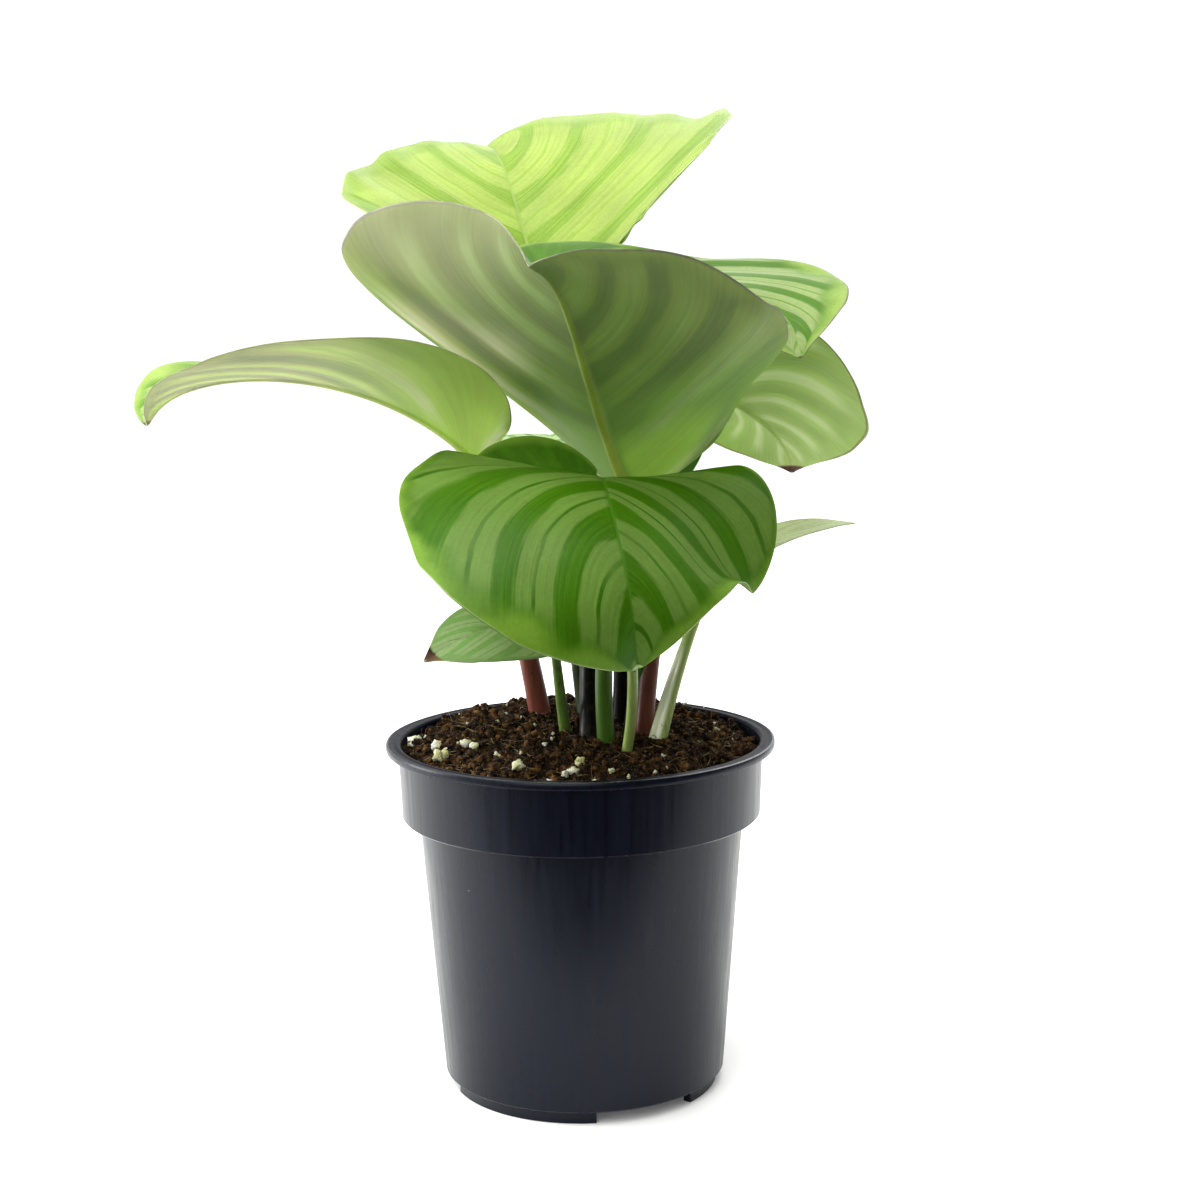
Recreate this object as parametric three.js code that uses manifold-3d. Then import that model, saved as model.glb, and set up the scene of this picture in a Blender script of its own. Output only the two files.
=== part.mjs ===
// Calathea with round striped leaves in a black grower's pot. Millimetres, +Z up.
// The pot axis runs through the origin while building; the whole plant is centred at the end.
import * as THREE from "three";
import Module from "manifold-3d";

const wasm = await Module();
wasm.setup();

// ---- driving dimensions -------------------------------------------------
const POT_H = 108.8; // floor to the top of the rim
const RIM_R = 60; // outer radius of the rim flange
const RIM_T = 2.5; // thickness of the flange
const RIM_ROUND = 0.6; // rounding of the flange's outer edge
const COLLAR_Z = 85.4; // underside of the collar
const COLLAR_R = [55.4, 56.2]; // collar outside, bottom and top
const BODY_R = [43.7, 50.2]; // body outside, bottom and under the collar
const WALL = 1.2;
const LEDGE_T = 1.6; // thickness of the step under the collar
const FOOT_R = 41.4; // outer radius of the foot ring
const FOOT_H = 4;
const FOOT_T = 2.5;
const FOOT_NOTCH = 46; // opening between two feet, degrees
const FOOT_NOTCH_AT = [57.5, 177.5, 297.5];
const DRAIN_R = 4.5;
const DRAIN_RING = 25;
const DRAIN_COUNT = 5; // round the ring; one more stands in the middle
const DRAIN_SIDES = 16;
const LIP_R = [56.7, 55.5]; // where the flange starts to round inward and where the rounding ends
const LIP_DROP = [0.5, 2]; // how far the inner edge has sunk there and at the wall
const POT_SEGMENTS = 48;
const NOTCH_REACH = 6; // cutter of a foot opening beyond the ring, both ways
const NOTCH_STEPS = 6;
const CUT_OVER = 1; // how far a cutter stands out of the surface
const POT_LOOK = [0x14171c, 0.38]; // colour and roughness
const SOIL_LOOK = [0x3a2a20, 0.95];
const BLADE_ROUGH = 0.45;
const STALK_ROUGH = 0.5;

const GAP = 0.3; // air between pieces that rest on each other
const SOIL_EDGE_Z = 105; // soil level at the pot wall
const SOIL_RISE = 7.5; // height of the mound in the middle
const SOIL_RINGS = 13;
const LUMP = [9, 2.6]; // coarse lumps: size across and height
const CRUMB = [4.3, 1.6]; // fine crumbs: size across and height
const SOIL_SLACK = [0.05, 0.1, 0.15]; // extra air at the floor, the ledge and the top
const HOLE_FLOOR_Z = 105.2; // bottoms of the plain holes the stalks stand in
const HOLE_TOP_Z = 120;
const HOLE_AIR = 0.55; // air round a stalk in its hole
const HOLE_SIDES = 12;
const STALK_Z = 106; // lower ends of the stalks
const STALK_SIDES = 8;
const STALK_RINGS = 12;
const STALK_STOP = 0.9; // stalk end to blade base
const STALK_TAPER = [1.6, 0.45]; // length of the tapered end and its radius as a part of the stalk's

const BLADE_T = 0.8;
const RIDGE = 0.7; // midrib standing out of the underside
const RIDGE_RISE = 8; // how fast the ridge grows from the blade's base
const VEIN_START = 0.06; // first vein row, as a part of the half turn round the margin
const VEIN_END = 0.995;
const VEIN_EVEN = 0.12; // evenly placed part of the veins' feet on the midrib
const VEIN_LEAD = 2.0; // how early a vein leaves the midrib
const VEIN_REACH = 0.74; // how far out a vein runs before it sweeps to the tip
const VEIN_SWEEP = 0.26;
const ACROSS = [0, 0.06, 0.28, 0.52, 0.76, 1]; // grid lines from the midrib to the margin
const LOBE_END = 0.6; // where the basal lobes end, as a part of the half turn
const LOBE_POWER = 2;
const CREASE = 0.2; // arc of the lobes' bend, as a part of the length
const FULL = 0.9; // squareness of a round blade's outline
const DRIP = 7; // length of a large blade's drawn-out tip
const DRIP_FROM = 0.84; // where the tip begins, as a part of the half turn
const HALF_SHIFT = 0.3; // the margin's waves on the right half start this much later

// Each leaf: rib is the midrib curve from the stalk to the tip, face the way the upper side looks at
// both ends, w the half widths left and right, fold and curl the side angles at base, middle and tip
// in degrees, back the upward bend of the basal lobes and crease the arc it takes, lobe their depth as
// a part of the length and auricle the power that shapes them, broad the shift of the widest place to
// the base, drip the length of the tip, full the squareness of the outline, start the first vein row,
// ripple the height, count and start of the margin's waves, bump single waves as side, height, place
// and spread. stalk is the curve from the soil, r its radii at soil, neck and top.
const LEAVES = [
  {
    name: "back",
    rib: [[-9, 61, 236], [-19, 82, 272], [-25, 110, 298], [-32, 151, 295]],
    face: [[0, -0.92, 0.39], [-0.08, -0.62, 0.78]],
    w: [59, 78],
    fold: [[46, 15, 27], [50, 3, 27]],
    curl: [[35, -5, -17], [14, 11, -57]],
    back: [20, 20],
    lobe: [0.18, 0.05],
    broad: 0.18,
    ripple: [1.2, 5.5, 0.1],
    stalk: [[3, -13, STALK_Z], [4, 8, 150], [3, 42, 200], [-9, 61, 236]],
    r: [3.8, 2.4, 1.7],
    stalkColor: 0x2b2320,
    bladeColor: 0x8cc63e,
  },
  {
    name: "centre",
    rib: [[16, -20, 183], [0, -46, 225], [0, -81, 250], [-12, -90, 253]],
    face: [[0.25, 0.84, 0.48], [0.25, 0.08, 0.97]],
    w: [57, 81],
    fold: [[43, 13, 33], [49, 10, 42]],
    curl: [[34, 7, -10], [5, 9, -18]],
    back: [10, 10],
    lobe: [0.14, 0.14],
    broad: 0.06,
    ripple: [0.7, 4, 0.3],
    stalk: [[8, -20, STALK_Z], [6, -18, 132], [7, -18, 156], [16, -20, 183]],
    r: [2.7, 2.5, 2.0],
    stalkColor: 0x3f7d2c,
    bladeColor: 0x6f9a58,
  },
  {
    name: "right_high",
    rib: [[-10, 4, 242], [32, 6, 255], [68, 0, 246], [66, -20, 225]],
    face: [[-0.07, -0.08, 0.99], [0.01, -0.34, 0.94]],
    w: [33, 40],
    fold: [[34, 2, 54], [-4, 0, 0]],
    curl: [[2, 0, -14], [-15, -15, -20]],
    back: [12, 0],
    lobe: [0.22, 0.26],
    broad: 0.1,
    ripple: [0.9, 4.5, 0.6],
    stalk: [[12, 10, STALK_Z], [17, 20, 150], [6, 28, 205], [-10, 4, 242]],
    r: [2.8, 2.2, 1.7],
    stalkColor: 0x4a3028,
    bladeColor: 0x79b04c,
  },
  {
    name: "right_low",
    rib: [[33, 16, 217], [50, 34, 211], [67, 20, 201], [70, 46, 185]],
    face: [[0.4, 0.83, 0.39], [0.19, 0.51, 0.84]],
    w: [45, 44],
    fold: [[9, 32, -26], [4, -5, -4]],
    curl: [[0, 0, 0], [0, 0, 0]],
    back: [0, 0],
    lobe: [0.13, 0.13],
    broad: -0.05,
    full: 1.25,
    ripple: [0.8, 4, 0],
    stalk: [[19, -4, STALK_Z], [22, 0, 140], [30, 8, 180], [33, 16, 217]],
    r: [2.9, 2.2, 1.6],
    stalkColor: 0x9c5148,
    bladeColor: 0x86b866,
  },
  {
    name: "front",
    rib: [[9, -51, 191], [3, -68, 206], [14, -125, 182], [15, -101, 149]],
    face: [[0.07, -0.2, 0.98], [0.1, -0.89, 0.45]],
    w: [52, 56],
    fold: [[24, -14, 6], [7, 9, 24]],
    curl: [[4, -39, -30], [-18, -29, -10]],
    back: [26, 86],
    crease: 5,
    lobe: [0.1, 0.295],
    auricle: 0.6,
    broad: 0.01,
    start: 0.035,
    bump: [[1, -4, 0.285, 0.02], [1, 4, 0.345, 0.022]],
    stalk: [[13, -24, STALK_Z], [19, -32, 135], [13, -38, 165], [9, -51, 191]],
    r: [1.6, 1.5, 1.5],
    stalkColor: 0x8dbb55,
    bladeColor: 0x5a9a33,
  },
  {
    name: "left",
    rib: [[-29, 4, 192], [-62, 18, 228], [-127, 6, 225], [-130, 4, 206]],
    face: [[-0.2, 0.16, 0.97], [-0.29, -0.13, 0.95]],
    w: [52, 46],
    fold: [[35, 7, 26], [9, 2, 29]],
    curl: [[12, 10, -4], [0, 0, 0]],
    back: [10, 10],
    lobe: [0.18, 0.08],
    broad: 0.13,
    ripple: [0.7, 4, 0],
    stalk: [[-12, 23, STALK_Z], [-17, 22, 138], [-25, 15, 172], [-29, 4, 192]],
    r: [3.6, 2.8, 1.9],
    stalkColor: 0xa4564c,
    bladeColor: 0x8fbc62,
  },
  {
    name: "left_small",
    rib: [[-8, -18, 146], [-20, -22, 150], [-34, -26, 147], [-46, -28, 138]],
    face: [[-0.1, -0.6, 0.8], [-0.3, -0.6, 0.7]],
    w: [16, 12],
    fold: [[10, 10, 10], [10, 10, 10]],
    curl: [[-10, -10, 0], [-10, -10, 0]],
    lobe: [0.1, 0.1],
    broad: 0.1,
    drip: 4,
    stalk: [[-4, -4, STALK_Z], [-6, -6, 122], [-7, -12, 136], [-8, -18, 146]],
    r: [1.9, 1.6, 1.2],
    stalkColor: 0x5f9a3c,
    bladeColor: 0x8db07a,
  },
  {
    name: "right_small",
    rib: [[40, 2, 154], [54, 4, 170], [70, 6, 174], [86, 8, 173]],
    face: [[0, -0.2, 1], [0, -0.15, 1]],
    w: [8, 7],
    fold: [[15, 10, 5], [5, 0, 0]],
    curl: [[0, 0, 0], [0, 0, 0]],
    lobe: [0.1, 0.1],
    broad: 0.1,
    drip: 5,
    stalk: [[22, -15, STALK_Z], [26, -12, 122], [33, -6, 142], [40, 2, 154]],
    r: [3.2, 2.2, 1.2],
    stalkColor: 0xb9cf8a,
    bladeColor: 0x94ab84,
  },
  {
    name: "rear_small",
    rib: [[-6, 52, 187], [-8, 70, 194], [-9, 88, 197], [-10, 106, 193]],
    face: [[0, -0.4, 0.92], [0, -0.1, 1]],
    w: [22, 20],
    fold: [[6, 4, 4], [8, 5, 5]],
    curl: [[0, -5, -5], [0, -5, -5]],
    lobe: [0.2, 0.2],
    broad: 0.12,
    drip: 5,
    stalk: [[2, 15, STALK_Z], [-2, 26, 140], [-6, 42, 170], [-6, 52, 187]],
    r: [2.4, 1.9, 1.4],
    stalkColor: 0x5c8f3e,
    bladeColor: 0x9ccb6a,
  },
  {
    name: "front_small",
    rib: [[19, -12, 152], [18, -21, 151], [17, -24, 142], [17, -25, 129]],
    face: [[0, -0.6, 0.8], [0, -0.95, 0.3]],
    w: [6.5, 6.5],
    fold: [[10, 5, 5], [10, 5, 5]],
    curl: [[-5, -5, 0], [-5, -5, 0]],
    lobe: [0.1, 0.1],
    broad: 0.1,
    drip: 4,
    stalk: [[14, -11, STALK_Z], [16, -9, 125], [19, -9, 140], [19, -12, 152]],
    r: [2.0, 1.6, 1.1],
    stalkColor: 0x3a3128,
    bladeColor: 0x4c7f38,
  },
  {
    name: "inner_small",
    rib: [[24, 6, 188], [28, 6, 197], [33, 5, 208], [37, 4, 216]],
    face: [[-0.3, -0.85, 0.4], [-0.2, -0.9, 0.4]],
    w: [11, 11],
    fold: [[10, 5, 5], [10, 5, 5]],
    curl: [[-5, -5, 0], [-5, -5, 0]],
    lobe: [0.1, 0.1],
    broad: 0.05,
    drip: 4,
    stalk: [[19, 8, STALK_Z], [17, 9, 135], [16, 7, 165], [24, 6, 188]],
    r: [1.9, 1.6, 1.1],
    stalkColor: 0x4f8435,
    bladeColor: 0x3f7a2a,
  },
];
const LARGE_ROWS = 20; // vein rows of a full-grown blade
const SMALL_ROWS = 9;
const LARGE_WIDTH = 30; // half width that makes a blade full-grown

// ---- small maths --------------------------------------------------------
const ALMOST_FLAT = 1e-4; // stands in for a bend of nothing, radians

const degrees = (angle) => (angle * Math.PI) / 180;

// Value through base, middle and tip.
function through(values, s) {
  const [base, middle, tip] = values;
  return base * (1 - s) * (1 - 2 * s) + 4 * middle * s * (1 - s) + tip * s * (2 * s - 1);
}

function curveOf(points) {
  const [a, b, c, d] = points.map((p) => new THREE.Vector3(...p));
  return new THREE.CubicBezierCurve3(a, b, c, d);
}

function solidMesh(name, positions, index, color, roughness) {
  const geometry = new THREE.BufferGeometry();
  geometry.setAttribute("position", new THREE.Float32BufferAttribute(positions, 3));
  geometry.setIndex(index);
  geometry.computeVertexNormals();
  const material = new THREE.MeshStandardMaterial({ color, roughness, metalness: 0 });
  const mesh = new THREE.Mesh(geometry, material);
  mesh.name = name;
  return mesh;
}

// ---- blades -------------------------------------------------------------
// Point of the flat leaf: v runs round the margin from the stalk to the tip, t out along a vein.
function flatPoint(leaf, length, side, v, t) {
  const width = leaf.w[side < 0 ? 0 : 1];
  const lobe = leaf.lobe[side < 0 ? 0 : 1];
  const drip = leaf.drip ?? DRIP;
  const body = length - drip;
  const start = leaf.start ?? VEIN_START;
  const part = start + (VEIN_END - start) * v;
  const turn = Math.PI * part;
  const edgeX = width * Math.sin(turn) ** (leaf.full ?? FULL) * (1 + leaf.broad * Math.cos(turn));
  const lobeArc = Math.max(0, Math.sin(Math.PI * Math.min(1, part / LOBE_END)));
  const lobePart = lobeArc ** (leaf.auricle ?? LOBE_POWER);
  const tipPart = Math.max(0, (part - DRIP_FROM) / (1 - DRIP_FROM)) ** 2;
  const edgeY = (body * (1 - Math.cos(turn))) / 2 - lobe * body * lobePart + drip * tipPart;
  const ribY = length * (VEIN_EVEN * v + (1 - VEIN_EVEN) * v ** VEIN_LEAD);
  const bendX = edgeX * VEIN_REACH;
  const bendY = ribY + (edgeY - ribY) * VEIN_SWEEP;
  const x = 2 * (1 - t) * t * bendX + t * t * edgeX;
  const y = (1 - t) ** 2 * ribY + 2 * (1 - t) * t * bendY + t * t * edgeY;
  return [x, y];
}

// The same point on the bent leaf.
function bentPoint(leaf, rib, length, side, v, t) {
  const [x, y] = flatPoint(leaf, length, side, v, t);
  const half = side < 0 ? 0 : 1;
  const width = leaf.w[half];
  const s = Math.min(1, Math.max(0, y / length));
  const centre = rib.getPoint(s);
  const along = rib.getTangent(s);
  const face = new THREE.Vector3(...leaf.face[0]).lerp(new THREE.Vector3(...leaf.face[1]), s);
  const up = face.addScaledVector(along, -face.dot(along)).normalize();
  const out = new THREE.Vector3().crossVectors(along, up).multiplyScalar(side);
  const crease = leaf.crease ?? CREASE * length;
  const lift = degrees(leaf.back?.[half] ?? 0) || ALMOST_FLAT;
  const liftR = crease / lift;
  const bent = Math.min(Math.max(0, -y), crease);
  const beyond = Math.max(0, -y) - bent;
  centre.addScaledVector(along, -liftR * Math.sin(bent / liftR) - beyond * Math.cos(lift));
  centre.addScaledVector(up, liftR * (1 - Math.cos(bent / liftR)) + beyond * Math.sin(lift));
  const fold = degrees(through(leaf.fold[half], s));
  const bend = degrees(through(leaf.curl[half], s)) / width || ALMOST_FLAT / width;
  const angle = fold + bend * x;
  let wave = 0;
  if (leaf.ripple) {
    const [height, count, start] = leaf.ripple;
    wave += height * Math.sin(2 * Math.PI * (count * v + start + HALF_SHIFT * half));
  }
  for (const [onSide, height, at, spread] of leaf.bump ?? []) {
    wave += onSide === side ? height * Math.exp(-(((v - at) / spread) ** 2)) : 0;
  }
  wave *= (x / width) ** 2;
  const outward = (Math.sin(angle) - Math.sin(fold)) / bend - wave * Math.sin(angle);
  const upward = (Math.cos(fold) - Math.cos(angle)) / bend + wave * Math.cos(angle);
  return centre.addScaledVector(out, outward).addScaledVector(up, upward);
}

function bladeGrid(leaf, rows) {
  const rib = curveOf(leaf.rib);
  const length = rib.getLength();
  const columns = [...ACROSS.slice(1).reverse().map((t) => [-1, t]), ...ACROSS.map((t) => [1, t])];
  const grid = [];
  for (let i = 0; i <= rows; i++) {
    grid.push(columns.map(([side, t]) => bentPoint(leaf, rib, length, side, i / rows, t)));
  }
  return grid;
}

// Direction the upper side looks at one grid point.
function gridNormal(grid, i, j) {
  const last = grid.length - 1;
  const end = grid[0].length - 1;
  const down = grid[Math.min(i + 1, last)][j].clone().sub(grid[Math.max(i - 1, 0)][j]);
  const across = grid[i][Math.min(j + 1, end)].clone().sub(grid[i][Math.max(j - 1, 0)]);
  return across.cross(down).normalize();
}

function makeBlade(leaf) {
  const rows = Math.max(...leaf.w) > LARGE_WIDTH ? LARGE_ROWS : SMALL_ROWS;
  const grid = bladeGrid(leaf, rows);
  const columns = grid[0].length;
  const middle = (columns - 1) / 2;
  const positions = [];
  const half = BLADE_T / 2;
  for (const sign of [1, -1]) {
    for (let i = 0; i <= rows; i++) {
      for (let j = 0; j < columns; j++) {
        const v = i / rows;
        const ridge = sign < 0 && j === middle ? RIDGE * Math.min(1, RIDGE_RISE * v) * (1 - v) : 0;
        const normal = gridNormal(grid, i, j);
        const point = grid[i][j].clone().addScaledVector(normal, sign * (half + ridge));
        positions.push(point.x, point.y, point.z);
      }
    }
  }
  const count = (rows + 1) * columns;
  const index = [];
  const at = (i, j) => i * columns + j;
  for (let i = 0; i < rows; i++) {
    for (let j = 0; j < columns - 1; j++) {
      const [a, b, c, d] = [at(i, j), at(i, j + 1), at(i + 1, j + 1), at(i + 1, j)];
      index.push(a, b, c, a, c, d);
      index.push(count + a, count + c, count + b, count + a, count + d, count + c);
    }
  }
  const border = [];
  for (let j = 0; j < columns - 1; j++) border.push(at(0, j));
  for (let i = 0; i < rows; i++) border.push(at(i, columns - 1));
  for (let j = columns - 1; j > 0; j--) border.push(at(rows, j));
  for (let i = rows; i > 0; i--) border.push(at(i, 0));
  border.forEach((a, k) => {
    const b = border[(k + 1) % border.length];
    index.push(a, count + a, count + b, a, count + b, b);
  });
  return solidMesh(`blade_${leaf.name}`, positions, index, leaf.bladeColor, BLADE_ROUGH);
}

// ---- stalks -------------------------------------------------------------
// Round stalk along its curve, ending just short of the blade.
function makeStalk(leaf) {
  const curve = curveOf(leaf.stalk);
  const length = curve.getLength();
  const stop = 1 - STALK_STOP / length;
  const taper = stop - STALK_TAPER[0] / length;
  const positions = [];
  const side = new THREE.Vector3(1, 0, 0);
  for (let i = 0; i <= STALK_RINGS; i++) {
    const u = i < STALK_RINGS ? (taper * i) / (STALK_RINGS - 1) : stop;
    const taperPart = i < STALK_RINGS ? 1 : STALK_TAPER[1];
    const centre = curve.getPointAt(u);
    const along = curve.getTangentAt(u);
    side.addScaledVector(along, -side.dot(along)).normalize();
    const other = new THREE.Vector3().crossVectors(along, side);
    const [low, neck, top] = leaf.r;
    const full = u < 0.5 ? low + (neck - low) * 2 * u : neck + (top - neck) * (2 * u - 1);
    const radius = full * taperPart;
    for (let k = 0; k < STALK_SIDES; k++) {
      const angle = (2 * Math.PI * k) / STALK_SIDES;
      const point = centre.clone();
      point.addScaledVector(side, radius * Math.cos(angle));
      point.addScaledVector(other, radius * Math.sin(angle));
      positions.push(point.x, point.y, point.z);
    }
  }
  const index = [];
  for (let i = 0; i < STALK_RINGS; i++) {
    for (let k = 0; k < STALK_SIDES; k++) {
      const next = (k + 1) % STALK_SIDES;
      const [a, b] = [i * STALK_SIDES + k, i * STALK_SIDES + next];
      const [c, d] = [b + STALK_SIDES, a + STALK_SIDES];
      index.push(a, b, c, a, c, d);
    }
  }
  const last = STALK_RINGS * STALK_SIDES;
  for (let k = 1; k < STALK_SIDES - 1; k++) {
    index.push(0, k + 1, k, last, last + k, last + k + 1);
  }
  return solidMesh(`stalk_${leaf.name}`, positions, index, leaf.stalkColor, STALK_ROUGH);
}

// ---- round bodies -------------------------------------------------------
// Closed body turned from a profile that starts and ends on the axis; heightAt can lift its points.
function turned(profile, segments, heightAt) {
  const positions = [];
  const rings = [];
  for (const [r, z] of profile) {
    const ring = [];
    const steps = r === 0 ? 1 : segments;
    for (let k = 0; k < steps; k++) {
      const angle = (2 * Math.PI * k) / segments;
      const [x, y] = [r * Math.cos(angle), r * Math.sin(angle)];
      ring.push(positions.length / 3);
      positions.push(x, y, heightAt ? heightAt(x, y, z) : z);
    }
    rings.push(ring);
  }
  const index = [];
  for (let i = 0; i < rings.length - 1; i++) {
    for (let k = 0; k < segments; k++) {
      const next = (k + 1) % segments;
      const [low, high] = [rings[i], rings[i + 1]];
      if (low.length === 1) index.push(low[0], high[next], high[k]);
      else if (high.length === 1) index.push(low[k], low[next], high[0]);
      else index.push(low[k], low[next], high[next], low[k], high[next], high[k]);
    }
  }
  return { positions, index };
}

function toManifold({ positions, index }) {
  const mesh = new wasm.Mesh({
    numProp: 3,
    vertProperties: new Float32Array(positions),
    triVerts: new Uint32Array(index),
  });
  return new wasm.Manifold(mesh);
}

function fromManifold(name, solid, color, roughness) {
  const mesh = solid.getMesh();
  return solidMesh(name, Array.from(mesh.vertProperties), Array.from(mesh.triVerts), color, roughness);
}

// Round bar between two points.
function bar(from, to, radius, sides) {
  const along = new THREE.Vector3().subVectors(to, from).normalize();
  const side = new THREE.Vector3(1, 0, 0);
  side.addScaledVector(along, -side.dot(along)).normalize();
  const other = new THREE.Vector3().crossVectors(along, side);
  const positions = [];
  for (const end of [from, to]) {
    for (let k = 0; k < sides; k++) {
      const angle = (2 * Math.PI * k) / sides;
      const point = end.clone();
      point.addScaledVector(side, radius * Math.cos(angle));
      point.addScaledVector(other, radius * Math.sin(angle));
      positions.push(point.x, point.y, point.z);
    }
  }
  const index = [];
  for (let k = 0; k < sides; k++) {
    const next = (k + 1) % sides;
    index.push(k, next, sides + next, k, sides + next, sides + k);
  }
  for (let k = 1; k < sides - 1; k++) {
    index.push(0, k + 1, k, sides, sides + k, sides + k + 1);
  }
  return { positions, index };
}

// ---- pot ----------------------------------------------------------------
// Wedge that opens the foot ring between two feet.
function notchWedge(centreAngle) {
  const reach = FOOT_R + NOTCH_REACH;
  const inner = FOOT_R - FOOT_T - NOTCH_REACH;
  const steps = NOTCH_STEPS;
  const positions = [];
  for (const z of [-CUT_OVER, FOOT_H]) {
    for (const r of [inner, reach]) {
      for (let k = 0; k <= steps; k++) {
        const angle = degrees(centreAngle + FOOT_NOTCH * (k / steps - 0.5));
        positions.push(r * Math.cos(angle), r * Math.sin(angle), z);
      }
    }
  }
  const n = steps + 1;
  const index = [];
  const quad = (a, b, c, d) => index.push(a, b, c, a, c, d);
  for (let k = 0; k < steps; k++) {
    quad(k, k + 1, n + k + 1, n + k);
    quad(2 * n + k, 3 * n + k, 3 * n + k + 1, 2 * n + k + 1);
    quad(n + k, n + k + 1, 3 * n + k + 1, 3 * n + k);
    quad(k + 1, k, 2 * n + k, 2 * n + k + 1);
  }
  quad(0, n, 3 * n, 2 * n);
  quad(n + steps, steps, 2 * n + steps, 3 * n + steps);
  return toManifold({ positions, index });
}

function makePot() {
  const under = POT_H - RIM_T;
  const ledge = COLLAR_Z + LEDGE_T;
  const profile = [
    [0, FOOT_H],
    [FOOT_R - FOOT_T, FOOT_H],
    [FOOT_R - FOOT_T, 0],
    [FOOT_R, 0],
    [FOOT_R, FOOT_H],
    [BODY_R[0], FOOT_H],
    [BODY_R[1], COLLAR_Z],
    [COLLAR_R[0], COLLAR_Z],
    [COLLAR_R[1], under],
    [RIM_R - RIM_ROUND, under],
    [RIM_R, under + RIM_ROUND],
    [RIM_R, POT_H - RIM_ROUND],
    [RIM_R - RIM_ROUND, POT_H],
    [LIP_R[0], POT_H],
    [LIP_R[1], POT_H - LIP_DROP[0]],
    [COLLAR_R[1] - WALL, POT_H - LIP_DROP[1]],
    [COLLAR_R[0] - WALL, ledge],
    [BODY_R[1] - WALL, ledge],
    [BODY_R[0] - WALL, FOOT_H + WALL],
    [0, FOOT_H + WALL],
  ];
  let pot = toManifold(turned(profile, POT_SEGMENTS));
  for (const angle of FOOT_NOTCH_AT) pot = pot.subtract(notchWedge(angle));
  for (let k = 0; k <= DRAIN_COUNT; k++) {
    const angle = (2 * Math.PI * k) / DRAIN_COUNT;
    const ring = k < DRAIN_COUNT ? DRAIN_RING : 0;
    const low = new THREE.Vector3(ring * Math.cos(angle), ring * Math.sin(angle), FOOT_H - CUT_OVER);
    const high = low.clone().setZ(FOOT_H + WALL + CUT_OVER);
    pot = pot.subtract(toManifold(bar(low, high, DRAIN_R, DRAIN_SIDES)));
  }
  return fromManifold("pot", pot, ...POT_LOOK);
}

// ---- soil ---------------------------------------------------------------
// Repeatable number from 0 to 1 for one corner of a square net.
function cornerValue(ix, iy, seed) {
  const s = Math.sin(ix * 127.1 + iy * 311.7 + seed * 74.7) * 43758.5453;
  return s - Math.floor(s);
}

function netNoise(x, y, size, seed) {
  const [gx, gy] = [x / size, y / size];
  const [ix, iy] = [Math.floor(gx), Math.floor(gy)];
  const ease = (a) => a * a * (3 - 2 * a);
  const [fx, fy] = [ease(gx - ix), ease(gy - iy)];
  const low = cornerValue(ix, iy, seed) * (1 - fx) + cornerValue(ix + 1, iy, seed) * fx;
  const high = cornerValue(ix, iy + 1, seed) * (1 - fx) + cornerValue(ix + 1, iy + 1, seed) * fx;
  return low * (1 - fy) + high * fy - 0.5;
}

function soilHeight(x, y) {
  const edge = COLLAR_R[1] - WALL;
  const mound = SOIL_RISE * (1 - (x * x + y * y) / (edge * edge));
  const lumps = LUMP[1] * netNoise(x, y, LUMP[0], 1) + CRUMB[1] * netNoise(x, y, CRUMB[0], 2);
  return SOIL_EDGE_Z + mound + lumps;
}

function makeSoil() {
  const floor = FOOT_H + WALL + GAP;
  const ledge = COLLAR_Z + LEDGE_T + GAP;
  const inset = WALL + GAP;
  const edge = COLLAR_R[1] - inset - SOIL_SLACK[2];
  const profile = [
    [0, floor],
    [BODY_R[0] - inset - SOIL_SLACK[0], floor],
    [BODY_R[1] - inset - SOIL_SLACK[1], ledge],
    [COLLAR_R[0] - inset, ledge],
  ];
  for (let i = SOIL_RINGS; i >= 0; i--) profile.push([(edge * i) / SOIL_RINGS, SOIL_EDGE_Z]);
  const lifted = (x, y, z) => (z === SOIL_EDGE_Z ? soilHeight(x, y) : z);
  let soil = toManifold(turned(profile, POT_SEGMENTS, lifted));
  for (const leaf of LEAVES) {
    const curve = curveOf(leaf.stalk);
    const along = curve.getTangent(0);
    const foot = curve.getPoint(0);
    const low = foot.clone().addScaledVector(along, (HOLE_FLOOR_Z - foot.z) / along.z);
    const high = foot.clone().addScaledVector(along, (HOLE_TOP_Z - foot.z) / along.z);
    soil = soil.subtract(toManifold(bar(low, high, leaf.r[0] + HOLE_AIR, HOLE_SIDES)));
  }
  return fromManifold("soil", soil, ...SOIL_LOOK);
}

// ---- the plant ----------------------------------------------------------
const plant = new THREE.Group();
plant.name = "potted_calathea";
plant.add(makePot());
plant.add(makeSoil());
for (const leaf of LEAVES) {
  plant.add(makeStalk(leaf));
  plant.add(makeBlade(leaf));
}
const box = new THREE.Box3().setFromObject(plant);
plant.position.set(-(box.min.x + box.max.x) / 2, -(box.min.y + box.max.y) / 2, 0);
plant.updateMatrixWorld(true);

export default plant;
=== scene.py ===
import bpy
import math
from functools import partial
from random import Random
from mathutils import Matrix, Vector, noise


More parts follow.
